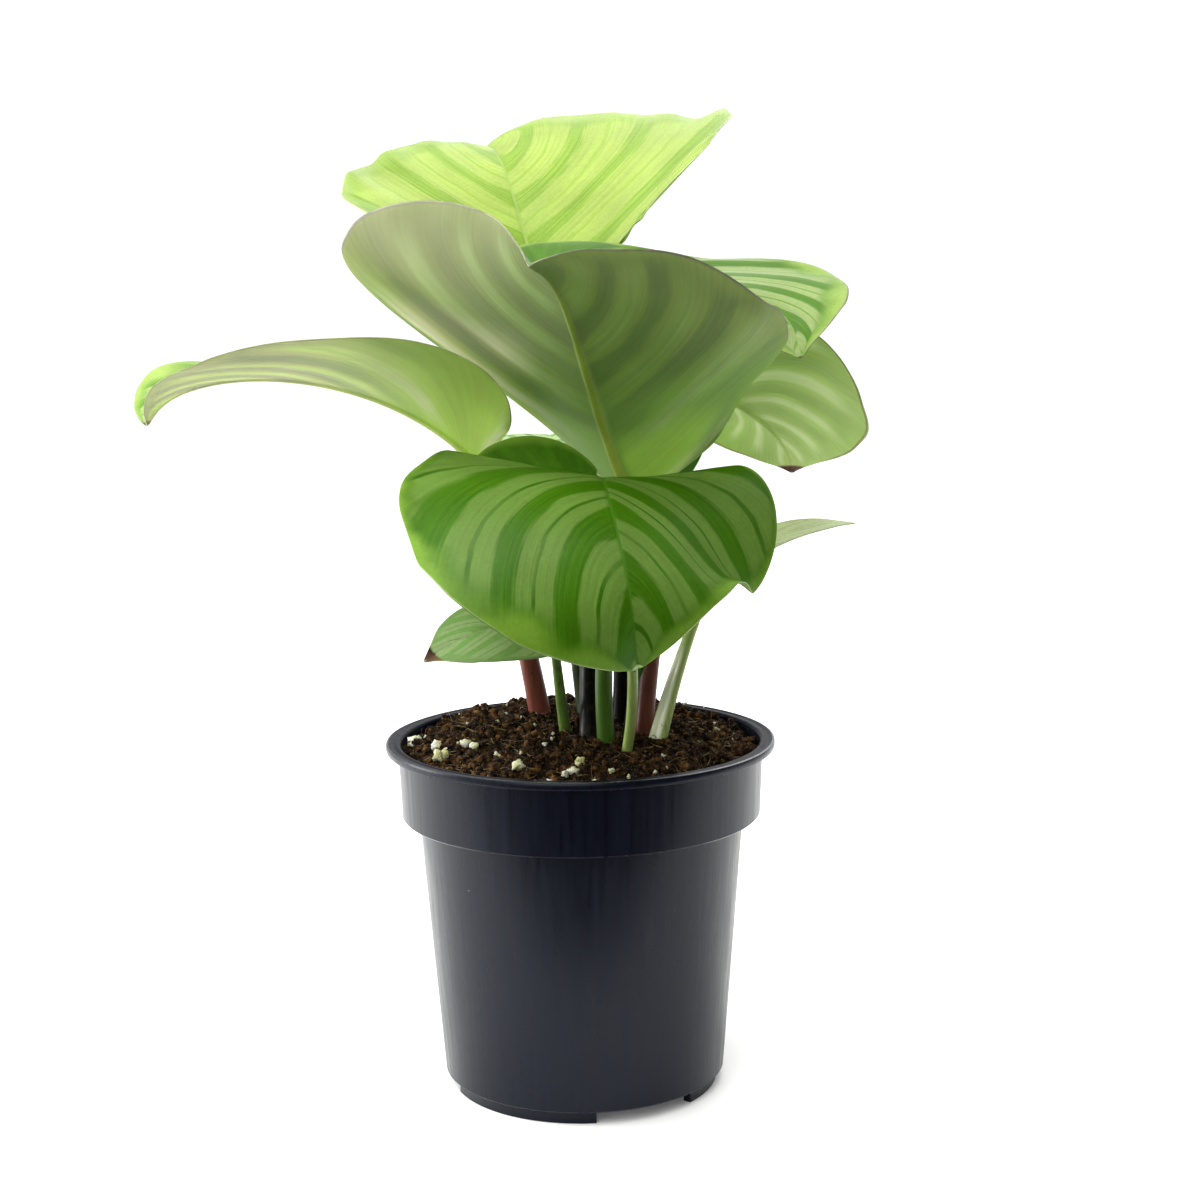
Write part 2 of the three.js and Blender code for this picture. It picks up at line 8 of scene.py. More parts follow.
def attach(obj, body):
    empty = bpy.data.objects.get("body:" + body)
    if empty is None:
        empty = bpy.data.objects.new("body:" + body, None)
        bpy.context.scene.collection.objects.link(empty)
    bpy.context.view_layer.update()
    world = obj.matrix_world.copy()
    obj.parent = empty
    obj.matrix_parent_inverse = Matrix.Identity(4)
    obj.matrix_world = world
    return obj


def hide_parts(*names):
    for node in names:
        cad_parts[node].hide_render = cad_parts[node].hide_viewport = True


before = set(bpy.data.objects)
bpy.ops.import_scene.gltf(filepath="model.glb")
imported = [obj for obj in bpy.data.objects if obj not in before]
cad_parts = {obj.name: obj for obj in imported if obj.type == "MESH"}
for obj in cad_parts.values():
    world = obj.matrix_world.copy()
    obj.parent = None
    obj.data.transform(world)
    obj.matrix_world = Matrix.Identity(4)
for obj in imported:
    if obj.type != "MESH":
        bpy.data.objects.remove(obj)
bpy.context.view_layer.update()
potAxis = Vector((23.0791, -15.2331, 0))  # mm, where the pot's axis stands; lengths below are in mm


# Shared helpers: selection, modifiers, materials.

def deselectAll():
    if bpy.context.mode != "OBJECT":
        bpy.ops.object.mode_set(mode="OBJECT")
    bpy.ops.object.select_all(action="DESELECT")


def pickOnly(piece):
    deselectAll()
    piece.select_set(True)
    bpy.context.view_layer.objects.active = piece


def applyModifiers(piece):
    pickOnly(piece)
    for modifier in list(piece.modifiers):
        bpy.ops.object.modifier_apply(modifier=modifier.name)


def selectOpenEdges():
    bpy.ops.mesh.select_mode(type="EDGE")
    bpy.ops.mesh.select_all(action="DESELECT")
    bpy.ops.mesh.select_non_manifold()


def smoothOutside():  # ends edit mode with every face looking outward, then shades smoothly
    bpy.ops.mesh.select_all(action="SELECT")
    bpy.ops.mesh.normals_make_consistent(inside=False)
    bpy.ops.object.mode_set(mode="OBJECT")
    bpy.ops.object.shade_smooth()


def joinPieces(pieces, name):
    deselectAll()
    for piece in pieces:
        piece.select_set(True)
    bpy.context.view_layer.objects.active = pieces[0]
    bpy.ops.object.join()
    joined = bpy.context.object
    joined.name = joined.data.name = name
    return joined


def setMaterials(piece, materials):
    piece.data.materials.clear()
    for material in materials:
        piece.data.materials.append(material)


def toWorld(point):  # mm about the pot's axis to metres in the frame
    return (Vector(point) + potAxis) / 1000


def linear(hexText):  # sRGB hex to the linear colour that shaders use
    parts = [int(hexText[i:i + 2], 16) / 255 for i in (0, 2, 4)]
    return [p / 12.92 if p <= 0.04045 else ((p + 0.055) / 1.055) ** 2.4 for p in parts] + [1.0]


def newMaterial(name, **values):
    material = bpy.data.materials.new(name)
    material.use_nodes = True
    shader = material.node_tree.nodes["Principled BSDF"]
    for key, value in values.items():
        shader.inputs[key.replace("_", " ")].default_value = value
    return material, shader


# Adds a node with its settings and links. Hex text is a colour. Returns the node's first live output.
def addNode(material, kind, inputs=None, **settings):
    tree = material.node_tree
    node = tree.nodes.new("ShaderNode" + kind)
    for key, value in settings.items():
        setattr(node, key, value)
    for key, value in (inputs or {}).items():
        if isinstance(value, bpy.types.NodeSocket):
            tree.links.new(value, node.inputs[key])
        else:
            node.inputs[key].default_value = linear(value) if isinstance(value, str) else value
    return next(output for output in node.outputs if output.enabled)


def link(material, source, shader, key):
    material.node_tree.links.new(source, shader.inputs[key])


# Curves in mm: four points of a Bezier, as the stalks and midribs follow.

def curvePoint(points, s):
    a, b, c, d = [Vector(p) for p in points]
    return a * (1 - s) ** 3 + b * 3 * s * (1 - s) ** 2 + c * 3 * s * s * (1 - s) + d * s ** 3


def curveDirection(points, s):
    a, b, c, d = [Vector(p) for p in points]
    return ((b - a) * (1 - s) ** 2 + (c - b) * 2 * s * (1 - s) + (d - c) * s * s).normalized()


def curveLength(points, steps=200):
    spots = [curvePoint(points, i / steps) for i in range(steps + 1)]
    return sum((b - a).length for a, b in zip(spots, spots[1:]))


def evenPlaces(points, count, steps=400):  # curve parameters that lie evenly along its length
    spots = [curvePoint(points, i / steps) for i in range(steps + 1)]
    run = [0.0]
    for a, b in zip(spots, spots[1:]):
        run.append(run[-1] + (b - a).length)
    places = []
    at = 0
    for i in range(count + 1):
        want = run[-1] * i / count
        while at < steps - 1 and run[at + 1] < want:
            at += 1
        part = (want - run[at]) / max(1e-9, run[at + 1] - run[at])
        places.append((at + min(1, max(0, part))) / steps)
    return places


def through(values, s):  # base, middle and tip value
    base, middle, tip = values
    return base * (1 - s) * (1 - 2 * s) + 4 * middle * s * (1 - s) + tip * s * (2 * s - 1)


def onRing(far, turn):
    return far * math.cos(turn), far * math.sin(turn)


def ease(low, high, value):
    t = min(1, max(0, (value - low) / (high - low)))
    return t * t * (3 - 2 * t)


# The leaves. rib is the midrib from the stalk to the tip, face the way the upper side looks at both
# ends, w the half widths left and right, fold and curl the side angles in degrees, back the upward
# bend of the basal lobes over the arc crease, lobe their depth and auricle the power of their shape.
# broad moves the widest place towards the stalk, full is the power of the outline's roundness, start
# the first vein's place and drip the tip's length. ripple waves the margin by a height, a count and a
# start, and bump raises it at one place: side, height, place, spread. stalk is the curve up from the
# soil and r its radii at soil, neck and top.
leaves = {
    "back": {
        "rib": [(-9, 61, 236), (-19, 82, 272), (-25, 110, 298), (-32, 151, 295)],
        "face": [(0, -0.92, 0.39), (-0.08, -0.62, 0.78)],
        "w": [59, 78], "fold": [(46, 15, 27), (50, 3, 27)], "curl": [(35, -5, -17), (14, 11, -57)],
        "back": [20, 20], "lobe": [0.18, 0.05], "broad": 0.18, "ripple": [1.2, 5.5, 0.1],
        "stalk": [(3, -13, 106), (4, 8, 150), (3, 42, 200), (-9, 61, 236)], "r": [3.8, 2.4, 1.7],
    },
    "centre": {
        "rib": [(16, -20, 183), (0, -46, 225), (0, -81, 250), (-12, -90, 253)],
        "face": [(0.25, 0.84, 0.48), (0.25, 0.08, 0.97)],
        "w": [57, 81], "fold": [(43, 13, 33), (49, 10, 42)], "curl": [(34, 7, -10), (5, 9, -18)],
        "back": [10, 10], "lobe": [0.14, 0.14], "broad": 0.06, "ripple": [0.7, 4, 0.3],
        "stalk": [(8, -20, 106), (6, -18, 132), (7, -18, 156), (16, -20, 183)], "r": [2.7, 2.5, 2.0],
    },
    "right_high": {
        "rib": [(-10, 4, 242), (32, 6, 255), (68, 0, 246), (66, -20, 225)],
        "face": [(-0.07, -0.08, 0.99), (0.01, -0.34, 0.94)],
        "w": [33, 40], "fold": [(34, 2, 54), (-4, 0, 0)], "curl": [(2, 0, -14), (-15, -15, -20)],
        "back": [12, 0], "lobe": [0.22, 0.26], "broad": 0.1, "ripple": [0.9, 4.5, 0.6],
        "stalk": [(12, 10, 106), (17, 20, 150), (6, 28, 205), (-10, 4, 242)], "r": [2.8, 2.2, 1.7],
    },
    "right_low": {
        "rib": [(33, 16, 217), (50, 34, 211), (67, 20, 201), (70, 46, 185)],
        "face": [(0.4, 0.83, 0.39), (0.19, 0.51, 0.84)],
        "w": [45, 44], "fold": [(9, 32, -26), (4, -5, -4)], "curl": [(0, 0, 0), (0, 0, 0)],
        "back": [0, 0], "lobe": [0.13, 0.13], "broad": -0.05, "full": 1.25, "ripple": [0.8, 4, 0],
        "stalk": [(19, -4, 106), (22, 0, 140), (30, 8, 180), (33, 16, 217)], "r": [2.9, 2.2, 1.6],
    },
    "front": {
        "rib": [(9, -51, 191), (3, -68, 206), (14, -125, 182), (15, -101, 149)],
        "face": [(0.07, -0.2, 0.98), (0.1, -0.89, 0.45)],
        "w": [52, 56], "fold": [(24, -14, 6), (7, 9, 24)], "curl": [(4, -39, -30), (-18, -29, -10)],
        "back": [26, 86], "crease": 5, "lobe": [0.1, 0.295], "auricle": 0.6, "broad": 0.01,
        "start": 0.035, "bump": [(1, -4, 0.285, 0.02), (1, 4, 0.345, 0.022)],
        "stalk": [(13, -24, 106), (19, -32, 135), (13, -38, 165), (9, -51, 191)], "r": [1.6, 1.5, 1.5],
    },
    "left": {
        "rib": [(-29, 4, 192), (-62, 18, 228), (-127, 6, 225), (-130, 4, 206)],
        "face": [(-0.2, 0.16, 0.97), (-0.29, -0.13, 0.95)],
        "w": [52, 46], "fold": [(35, 7, 26), (9, 2, 29)], "curl": [(12, 10, -4), (0, 0, 0)],
        "back": [10, 10], "lobe": [0.18, 0.08], "broad": 0.13, "ripple": [0.7, 4, 0],
        "stalk": [(-12, 23, 106), (-17, 22, 138), (-25, 15, 172), (-29, 4, 192)], "r": [3.6, 2.8, 1.9],
    },
    "left_small": {
        "rib": [(-8, -18, 146), (-20, -22, 150), (-34, -26, 147), (-46, -28, 138)],
        "face": [(-0.1, -0.6, 0.8), (-0.3, -0.6, 0.7)],
        "w": [16, 12], "fold": [(10, 10, 10), (10, 10, 10)], "curl": [(-10, -10, 0), (-10, -10, 0)],
        "lobe": [0.1, 0.1], "broad": 0.1, "drip": 4,
        "stalk": [(-4, -4, 106), (-6, -6, 122), (-7, -12, 136), (-8, -18, 146)], "r": [1.9, 1.6, 1.2],
    },
    "right_small": {
        "rib": [(40, 2, 154), (54, 4, 170), (70, 6, 174), (86, 8, 173)],
        "face": [(0, -0.2, 1), (0, -0.15, 1)],
        "w": [8, 7], "fold": [(15, 10, 5), (5, 0, 0)], "curl": [(0, 0, 0), (0, 0, 0)],
        "lobe": [0.1, 0.1], "broad": 0.1, "drip": 5,
        "stalk": [(22, -15, 106), (26, -12, 122), (33, -6, 142), (40, 2, 154)], "r": [3.2, 2.2, 1.2],
    },
    "rear_small": {
        "rib": [(-6, 52, 187), (-8, 70, 194), (-9, 88, 197), (-10, 106, 193)],
        "face": [(0, -0.4, 0.92), (0, -0.1, 1)],
        "w": [22, 20], "fold": [(6, 4, 4), (8, 5, 5)], "curl": [(0, -5, -5), (0, -5, -5)],
        "lobe": [0.2, 0.2], "broad": 0.12, "drip": 5,
        "stalk": [(2, 15, 106), (-2, 26, 140), (-6, 42, 170), (-6, 52, 187)], "r": [2.4, 1.9, 1.4],
    },
    "front_small": {
        "rib": [(19, -12, 152), (18, -21, 151), (17, -24, 142), (17, -25, 129)],
        "face": [(0, -0.6, 0.8), (0, -0.95, 0.3)],
        "w": [6.5, 6.5], "fold": [(10, 5, 5), (10, 5, 5)], "curl": [(-5, -5, 0), (-5, -5, 0)],
        "lobe": [0.1, 0.1], "broad": 0.1, "drip": 4,
        "stalk": [(14, -11, 106), (16, -9, 125), (19, -9, 140), (19, -12, 152)], "r": [2.0, 1.6, 1.1],
    },
    "inner_small": {
        "rib": [(24, 6, 188), (28, 6, 197), (33, 5, 208), (37, 4, 216)],
        "face": [(-0.3, -0.85, 0.4), (-0.2, -0.9, 0.4)],
        "w": [11, 11], "fold": [(10, 5, 5), (10, 5, 5)], "curl": [(-5, -5, 0), (-5, -5, 0)],
        "lobe": [0.1, 0.1], "broad": 0.05, "drip": 4,
        "stalk": [(19, 8, 106), (17, 9, 135), (16, 7, 165), (24, 6, 188)], "r": [1.9, 1.6, 1.1],
    },
}

# Colours of each leaf: dark and pale are the upper side's bands, line the thin line in a pale band,
# margin its edge and rib the midrib. under is the lower side near the stalk, far towards the tip,
# underPale its pale veins and edge the cut edge. The change from under to far is painted light: the
# paler grey towards the tip stands in for light through the blade and its grazing sheen. bands counts
# the bands per half, shift moves them, tip is where the leaf is dry, ruffle is in mm, frill is the
# unevenness of the outline, slim narrows the dark bands, more adds bands to the left half, plainLobes
# leaves the lobes dark, seed varies the noise, and faint is the strength of the left half's pale veins
# below. shadeLifts are painted light: they lighten the parts of the lower side where shade falls, by
# the half (1 is the right), the factors, where it starts, is full, ends and is gone out along the
# veins, and where it fades down the leaf and what is left of it.
looks = {
    "back": {
        "dark": "8fab49", "pale": "a9bb64", "line": "98b052", "margin": "a5b871", "rib": "9eb564",
        "under": "9ab865", "far": "a9c07c", "underPale": "c0d298", "edge": "b5c98a",
        "bands": 4.5, "shift": 0.28, "slim": 0.045, "tip": 1.4, "ruffle": 1.3, "frill": 0.05, "seed": 3,
    },
    "centre": {
        "dark": "3f7420", "pale": "86a867", "line": "4f7d2c", "margin": "8fae62", "rib": "94a540",
        "under": "749e32", "far": "899660", "underPale": "9aad70", "edge": "84866a",
        "bands": 5, "shift": 0.3, "tip": 1.4, "ruffle": 0.8, "frill": 0.008, "seed": 11,
        "faint": 0.5, "shadeLifts": [
            (0, (1.5, 1.3, 1.8), (0.35, 1, 2, 3), (0.2, 0.55, 0.5)),
            (0, (2.2, 1.9, 2.2), (0, 0.05, 0.3, 0.6), (0.08, 0.2, 0)),
            (1, (2.5, 2.0, 3.2), (0.35, 1, 2, 3), (0.5, 0.9, 0.3)),
            (1, (2.7, 1.8, 4.2), (0.18, 0.42, 0.6, 0.9), (0.3, 0.5, 0)),
        ],
    },
    "right_high": {
        "dark": "5c872d", "pale": "9fb275", "line": "6b913c", "margin": "a0b961", "rib": "9dbd68",
        "under": "86a45a", "far": "90a868", "underPale": "b4c68c", "edge": "7d8a58",
        "bands": 5, "shift": 0.5, "tip": 1.4, "ruffle": 0.7, "seed": 5,
    },
    # Painted light: right_low's lower-side colours (under, far, underPale) are lifted nearly to white to
    # make up for the shade this blade lies in.
    "right_low": {
        "dark": "4d8026", "pale": "8fae6c", "line": "5a8a34", "margin": "7ea546", "rib": "b4c67c",
        "under": "c3d784", "far": "cce092", "underPale": "eef5cc", "edge": "94985c",
        "bands": 6, "shift": 0.2, "tip": 0.93, "ruffle": 0.5, "seed": 17,
    },
    "front": {
        "dark": "437205", "pale": "6d8e3d", "line": "386508", "margin": "7ca138", "rib": "50801a",
        "under": "7f9a58", "far": "8aa262", "underPale": "9bb07c", "edge": "8fae5c",
        "bands": 4.5, "shift": -0.35, "tip": 1.4, "ruffle": 0.6, "more": 0.7, "plainLobes": True,
        "seed": 23,
    },
    "left": {
        "dark": "6c9c38", "pale": "b4cc88", "line": "79a646", "margin": "a9c46c", "rib": "b9c878",
        "under": "a4c44a", "far": "b8b29f", "underPale": "c2cc96", "edge": "a3a878",
        "bands": 5.5, "shift": 0.4, "tip": 0.985, "ruffle": 0.5, "seed": 31,
    },
    "left_small": {
        "dark": "8db56b", "pale": "abc38b", "line": "83a960", "margin": "8fb070", "rib": "a3bb80",
        "under": "8fac74", "far": "98b07c", "underPale": "b2c49c", "edge": "8c9a6a",
        "bands": 4, "shift": 0, "tip": 0.9, "ruffle": 0.4, "seed": 37,
    },
    "right_small": {
        "dark": "cdcfc2", "pale": "d5decb", "line": "c0cfb0", "margin": "cad6ba", "rib": "d0dab8",
        "under": "c6d0b6", "far": "ccd6bc", "underPale": "dce2d0", "edge": "a8b290",
        "bands": 4, "shift": 0, "tip": 1.4, "ruffle": 0.3, "seed": 41,
    },
    "rear_small": {
        "dark": "8cb864", "pale": "cfe4b4", "line": "9cc474", "margin": "c3dc9c", "rib": "c4d8a0",
        "under": "a3bf80", "far": "a9c488", "underPale": "cfdcb4", "edge": "a6be7c",
        "bands": 4.5, "shift": 0.2, "tip": 1.4, "ruffle": 0.3, "seed": 43,
    },
    # Painted shade: front_small's colours are all dark, for a small leaf that lies in shade behind the
    # front leaf.
    "front_small": {
        "dark": "2f5212", "pale": "4f7430", "line": "38601a", "margin": "44701f", "rib": "55783a",
        "under": "4a6a2e", "far": "527236", "underPale": "64824a", "edge": "44602c",
        "bands": 4, "shift": 0, "tip": 1.4, "ruffle": 0.2, "seed": 47,
    },
    "inner_small": {
        "dark": "46741a", "pale": "5f8c34", "line": "4d7c20", "margin": "5a8a2c", "rib": "5f8f3a",
        "under": "4a7c1c", "far": "548424", "underPale": "66923c", "edge": "4f7a2a",
        "bands": 4, "shift": 0, "tip": 1.4, "ruffle": 0.2, "seed": 53,
    },
}

bladeMake = {
    "veinStart": 0.06, "veinEnd": 0.995,  # first and last vein as parts of the half turn of the margin
    "veinFeet": ((0.06, 1), (0.64, 3.5), (0.3, 24)),  # parts and powers of their places on the midrib
    "veinReach": 0.8, "veinSweep": 0.22,  # where a vein bends towards the tip
    "bandLaw": ((0.31, 1), (0.69, 4)),  # parts and powers that place the bands round the margin
    "lobeEnd": 0.6, "dripFrom": 0.84, "halfShift": 0.3,
    "thick": 0.5,
    "rows": 84, "columns": 56, "smallRows": 40, "smallColumns": 28,
    "pleat": 0.3,  # height of the soft folds along the bands
    "ribWidth": 2.0, "ribHeight": 1.3, "ribGroove": 0.3,
}


def powerSum(terms, v):
    return sum(part * v ** power for part, power in terms)


def flatPoint(leaf, length, side, v, t):  # v round the margin from stalk to tip, t out along a vein
    make = bladeMake
    half = 0 if side < 0 else 1
    drip = leaf.get("drip", 7)
    body = length - drip
    start = leaf.get("start", make["veinStart"])
    part = start + (make["veinEnd"] - start) * v
    turn = math.pi * part
    roundness = math.sin(turn) ** leaf.get("full", 0.9)
    edgeX = leaf["w"][half] * roundness * (1 + leaf["broad"] * math.cos(turn))
    lobePart = max(0, math.sin(math.pi * min(1, part / make["lobeEnd"]))) ** leaf.get("auricle", 2)
    tipPart = max(0, (part - make["dripFrom"]) / (1 - make["dripFrom"])) ** 2
    edgeY = body * (1 - math.cos(turn)) / 2 - leaf["lobe"][half] * body * lobePart + drip * tipPart
    ribY = length * powerSum(make["veinFeet"], v)
    bendX = edgeX * make["veinReach"]
    bendY = ribY + (edgeY - ribY) * make["veinSweep"]
    x = 2 * (1 - t) * t * bendX + t * t * edgeX
    y = (1 - t) ** 2 * ribY + 2 * (1 - t) * t * bendY + t * t * edgeY
    return x, y


def bentPoint(leaf, length, side, v, t):  # that point on the bent leaf, and its place on the flat one
    x, y = flatPoint(leaf, length, side, v, t)
    half = 0 if side < 0 else 1
    width = leaf["w"][half]
    s = min(1, max(0, y / length))
    centre = curvePoint(leaf["rib"], s)
    along = curveDirection(leaf["rib"], s)
    face = Vector(leaf["face"][0]).lerp(Vector(leaf["face"][1]), s)
    up = (face - along * face.dot(along)).normalized()
    out = along.cross(up) * side
    crease = leaf.get("crease", 0.2 * length)
    lift = math.radians(leaf.get("back", (0, 0))[half]) or 1e-4
    liftR = crease / lift
    bent = min(max(0, -y), crease)
    beyond = max(0, -y) - bent
    centre -= along * (liftR * math.sin(bent / liftR) + beyond * math.cos(lift))
    centre += up * (liftR * (1 - math.cos(bent / liftR)) + beyond * math.sin(lift))
    fold = math.radians(through(leaf["fold"][half], s))
    bend = math.radians(through(leaf["curl"][half], s)) / width or 1e-6
    angle = fold + bend * x
    wave = 0
    if "ripple" in leaf:
        height, count, start = leaf["ripple"]
        wave += height * math.sin(2 * math.pi * (count * v + start + bladeMake["halfShift"] * half))
    for onSide, height, at, spread in leaf.get("bump", ()):
        wave += height * math.exp(-((v - at) / spread) ** 2) if onSide == side else 0
    wave *= (x / width) ** 2
    outward = (math.sin(angle) - math.sin(fold)) / bend - wave * math.sin(angle)
    upward = (math.cos(fold) - math.cos(angle)) / bend + wave * math.cos(angle)
    return centre + out * outward + up * upward, x, y / length


def bandPhase(look, side, v):  # whole numbers are the middles of the dark bands
    bands = look["bands"] + (look.get("more", 0) if side < 0 else 0)
    even = bands * powerSum(bladeMake["bandLaw"], v) + look["shift"]
    return even + noise.noise(Vector((even * 0.8, side * 5.3, look["seed"]))) * 0.16 + side * 0.06


def makeBlade(name, leaf, look):
    make = bladeMake
    length = curveLength(leaf["rib"])
    big = max(leaf["w"]) > 30
    size = min(1, max(leaf["w"]) / 50)
    deselectAll()
    bpy.ops.mesh.primitive_grid_add(x_subdivisions=make["columns" if big else "smallColumns"],
                                    y_subdivisions=make["rows" if big else "smallRows"], size=2)
    blade = bpy.context.object
    blade.name = blade.data.name = "leaf_" + name
    mesh = blade.data
    while mesh.uv_layers:
        mesh.uv_layers.remove(mesh.uv_layers[0])
    start = [v.co.copy() for v in mesh.vertices]
    places = []
    for vertex in mesh.vertices:
        side = -1 if vertex.co.x < 0 else 1
        t = abs(vertex.co.x) ** 1.5
        v = (vertex.co.y + 1) / 2
        frill = look.get("frill", 0.012) * noise.noise(Vector((v * 15, side * 3, look["seed"])))
        reach = t * (1 + frill * t ** 6 * (1 - ease(0.72, 0.9, v)))
        vertex.co, x, down = bentPoint(leaf, length, side, v, reach)
        places.append((side, v, t, x, down))
    bands = mesh.uv_layers.new(name="bands").data  # band count from the base, out along the vein
    leafMap = mesh.uv_layers.new(name="leaf").data  # part of the length, distance from the midrib
    for face in mesh.polygons:
        side = -1 if sum(start[i].x for i in face.vertices) < 0 else 1
        for corner in face.loop_indices:
            _, v, t, x, down = places[mesh.loops[corner].vertex_index]
            bands[corner].uv = (bandPhase(look, side, v) + (20 if side > 0 else 0), t)
            leafMap[corner].uv = (down, x / 100)
    mesh.update()
    normals = [v.normal.copy() for v in mesh.vertices]
    for vertex, normal, (side, v, t, _, _) in zip(mesh.vertices, normals, places):
        fold = math.cos(2 * math.pi * bandPhase(look, side, v)) * ease(0, 0.25, t) * (1 - ease(0.7, 1, t))
        ruffle = noise.noise(Vector((v * 13, side * 4, look["seed"] + 0.5))) * ease(0.72, 1, t)
        inBody = ease(0, 0.1, v) * (1 - v) ** 0.5
        inMargin = ease(0, 0.08, v) * (1 - ease(0.95, 1, v))
        vertex.co += normal * size * (make["pleat"] * fold * inBody + look["ruffle"] * ruffle * inMargin)
    for vertex in mesh.vertices:
        vertex.co = toWorld(vertex.co)
    shell = blade.modifiers.new("thickness", "SOLIDIFY")
    shell.thickness = make["thick"] / 1000
    shell.offset = 0
    shell.use_even_offset = True
    shell.material_offset = 1
    shell.material_offset_rim = 2
    setMaterials(blade, [upperSide(name, look), lowerSide(name, look), cutEdge(name, look)])
    soft = blade.modifiers.new("smooth", "SUBSURF")
    soft.levels = soft.render_levels = 1
    soft.uv_smooth = "NONE"
    applyModifiers(blade)
    raiseMidrib(blade, size)
    bpy.ops.object.shade_smooth()
    return blade


def raiseMidrib(blade, size):  # the rounded rib under the blade and its groove on top
    mesh = blade.data
    spots = {}
    leafMap = mesh.uv_layers["leaf"].data
    for face in mesh.polygons:
        if face.material_index < 2:
            for corner in face.loop_indices:
                down, x = leafMap[corner].uv
                vertex = mesh.loops[corner].vertex_index
                spots[vertex] = (min(1, max(0, down)), x * 100, face.material_index)
    normals = {i: mesh.vertices[i].normal.copy() for i in spots}
    for i, (down, x, lower) in spots.items():
        width = bladeMake["ribWidth"] * size * (1 - 0.82 * down)
        if x < width:
            bulge = (1 - (x / width) ** 2) ** 0.7 if lower else (1 - (x / width) ** 2) ** 2
            height = bladeMake["ribHeight" if lower else "ribGroove"] * size * (1 - down) ** 0.9
            mesh.vertices[i].co += normals[i] * bulge * height / 1000 * (1 if lower else -1)
    mesh.update()


# Leaf surfaces. Living leaf: thin wet tissue under a waxy skin, so a satin gloss over soft green
# that light shines through. The bands follow the veins.

smooth = {"interpolation_type": "SMOOTHSTEP"}
tissue = {"through": 0.52, "filter": (1, 1, 0.7)}  # the part of the light that passes, and its tint


def leafPlaces(material):  # band count, way along the vein, part of the length, way from the midrib
    bands = addNode(material, "SeparateXYZ", {0: addNode(material, "UVMap", uv_map="bands")})
    leafMap = addNode(material, "SeparateXYZ", {0: addNode(material, "UVMap", uv_map="leaf")})
    place = addNode(material, "TexCoord").node.outputs["Object"]
    return bands, bands.node.outputs["Y"], leafMap, leafMap.node.outputs["Y"], place


def veinStreaks(material, phase, outward, across):  # fine lines that follow the veins
    across = addNode(material, "Math", {0: phase, 1: across}, operation="MULTIPLY")
    place = addNode(material, "CombineXYZ", {0: across, 1: outward})
    return addNode(material, "TexNoise", {"Vector": place, "Scale": 1.3, "Detail": 2})


def ribMask(material, down, fromRib, wide, narrow, strength):
    width = addNode(material, "MapRange", {0: down, 1: 0, 2: 1, 3: wide, 4: narrow})
    inside = addNode(material, "Math", {0: fromRib, 1: width}, operation="DIVIDE")
    return addNode(material, "MapRange", {0: inside, 1: 0.6, 2: 1, 3: strength, 4: 0}, **smooth)


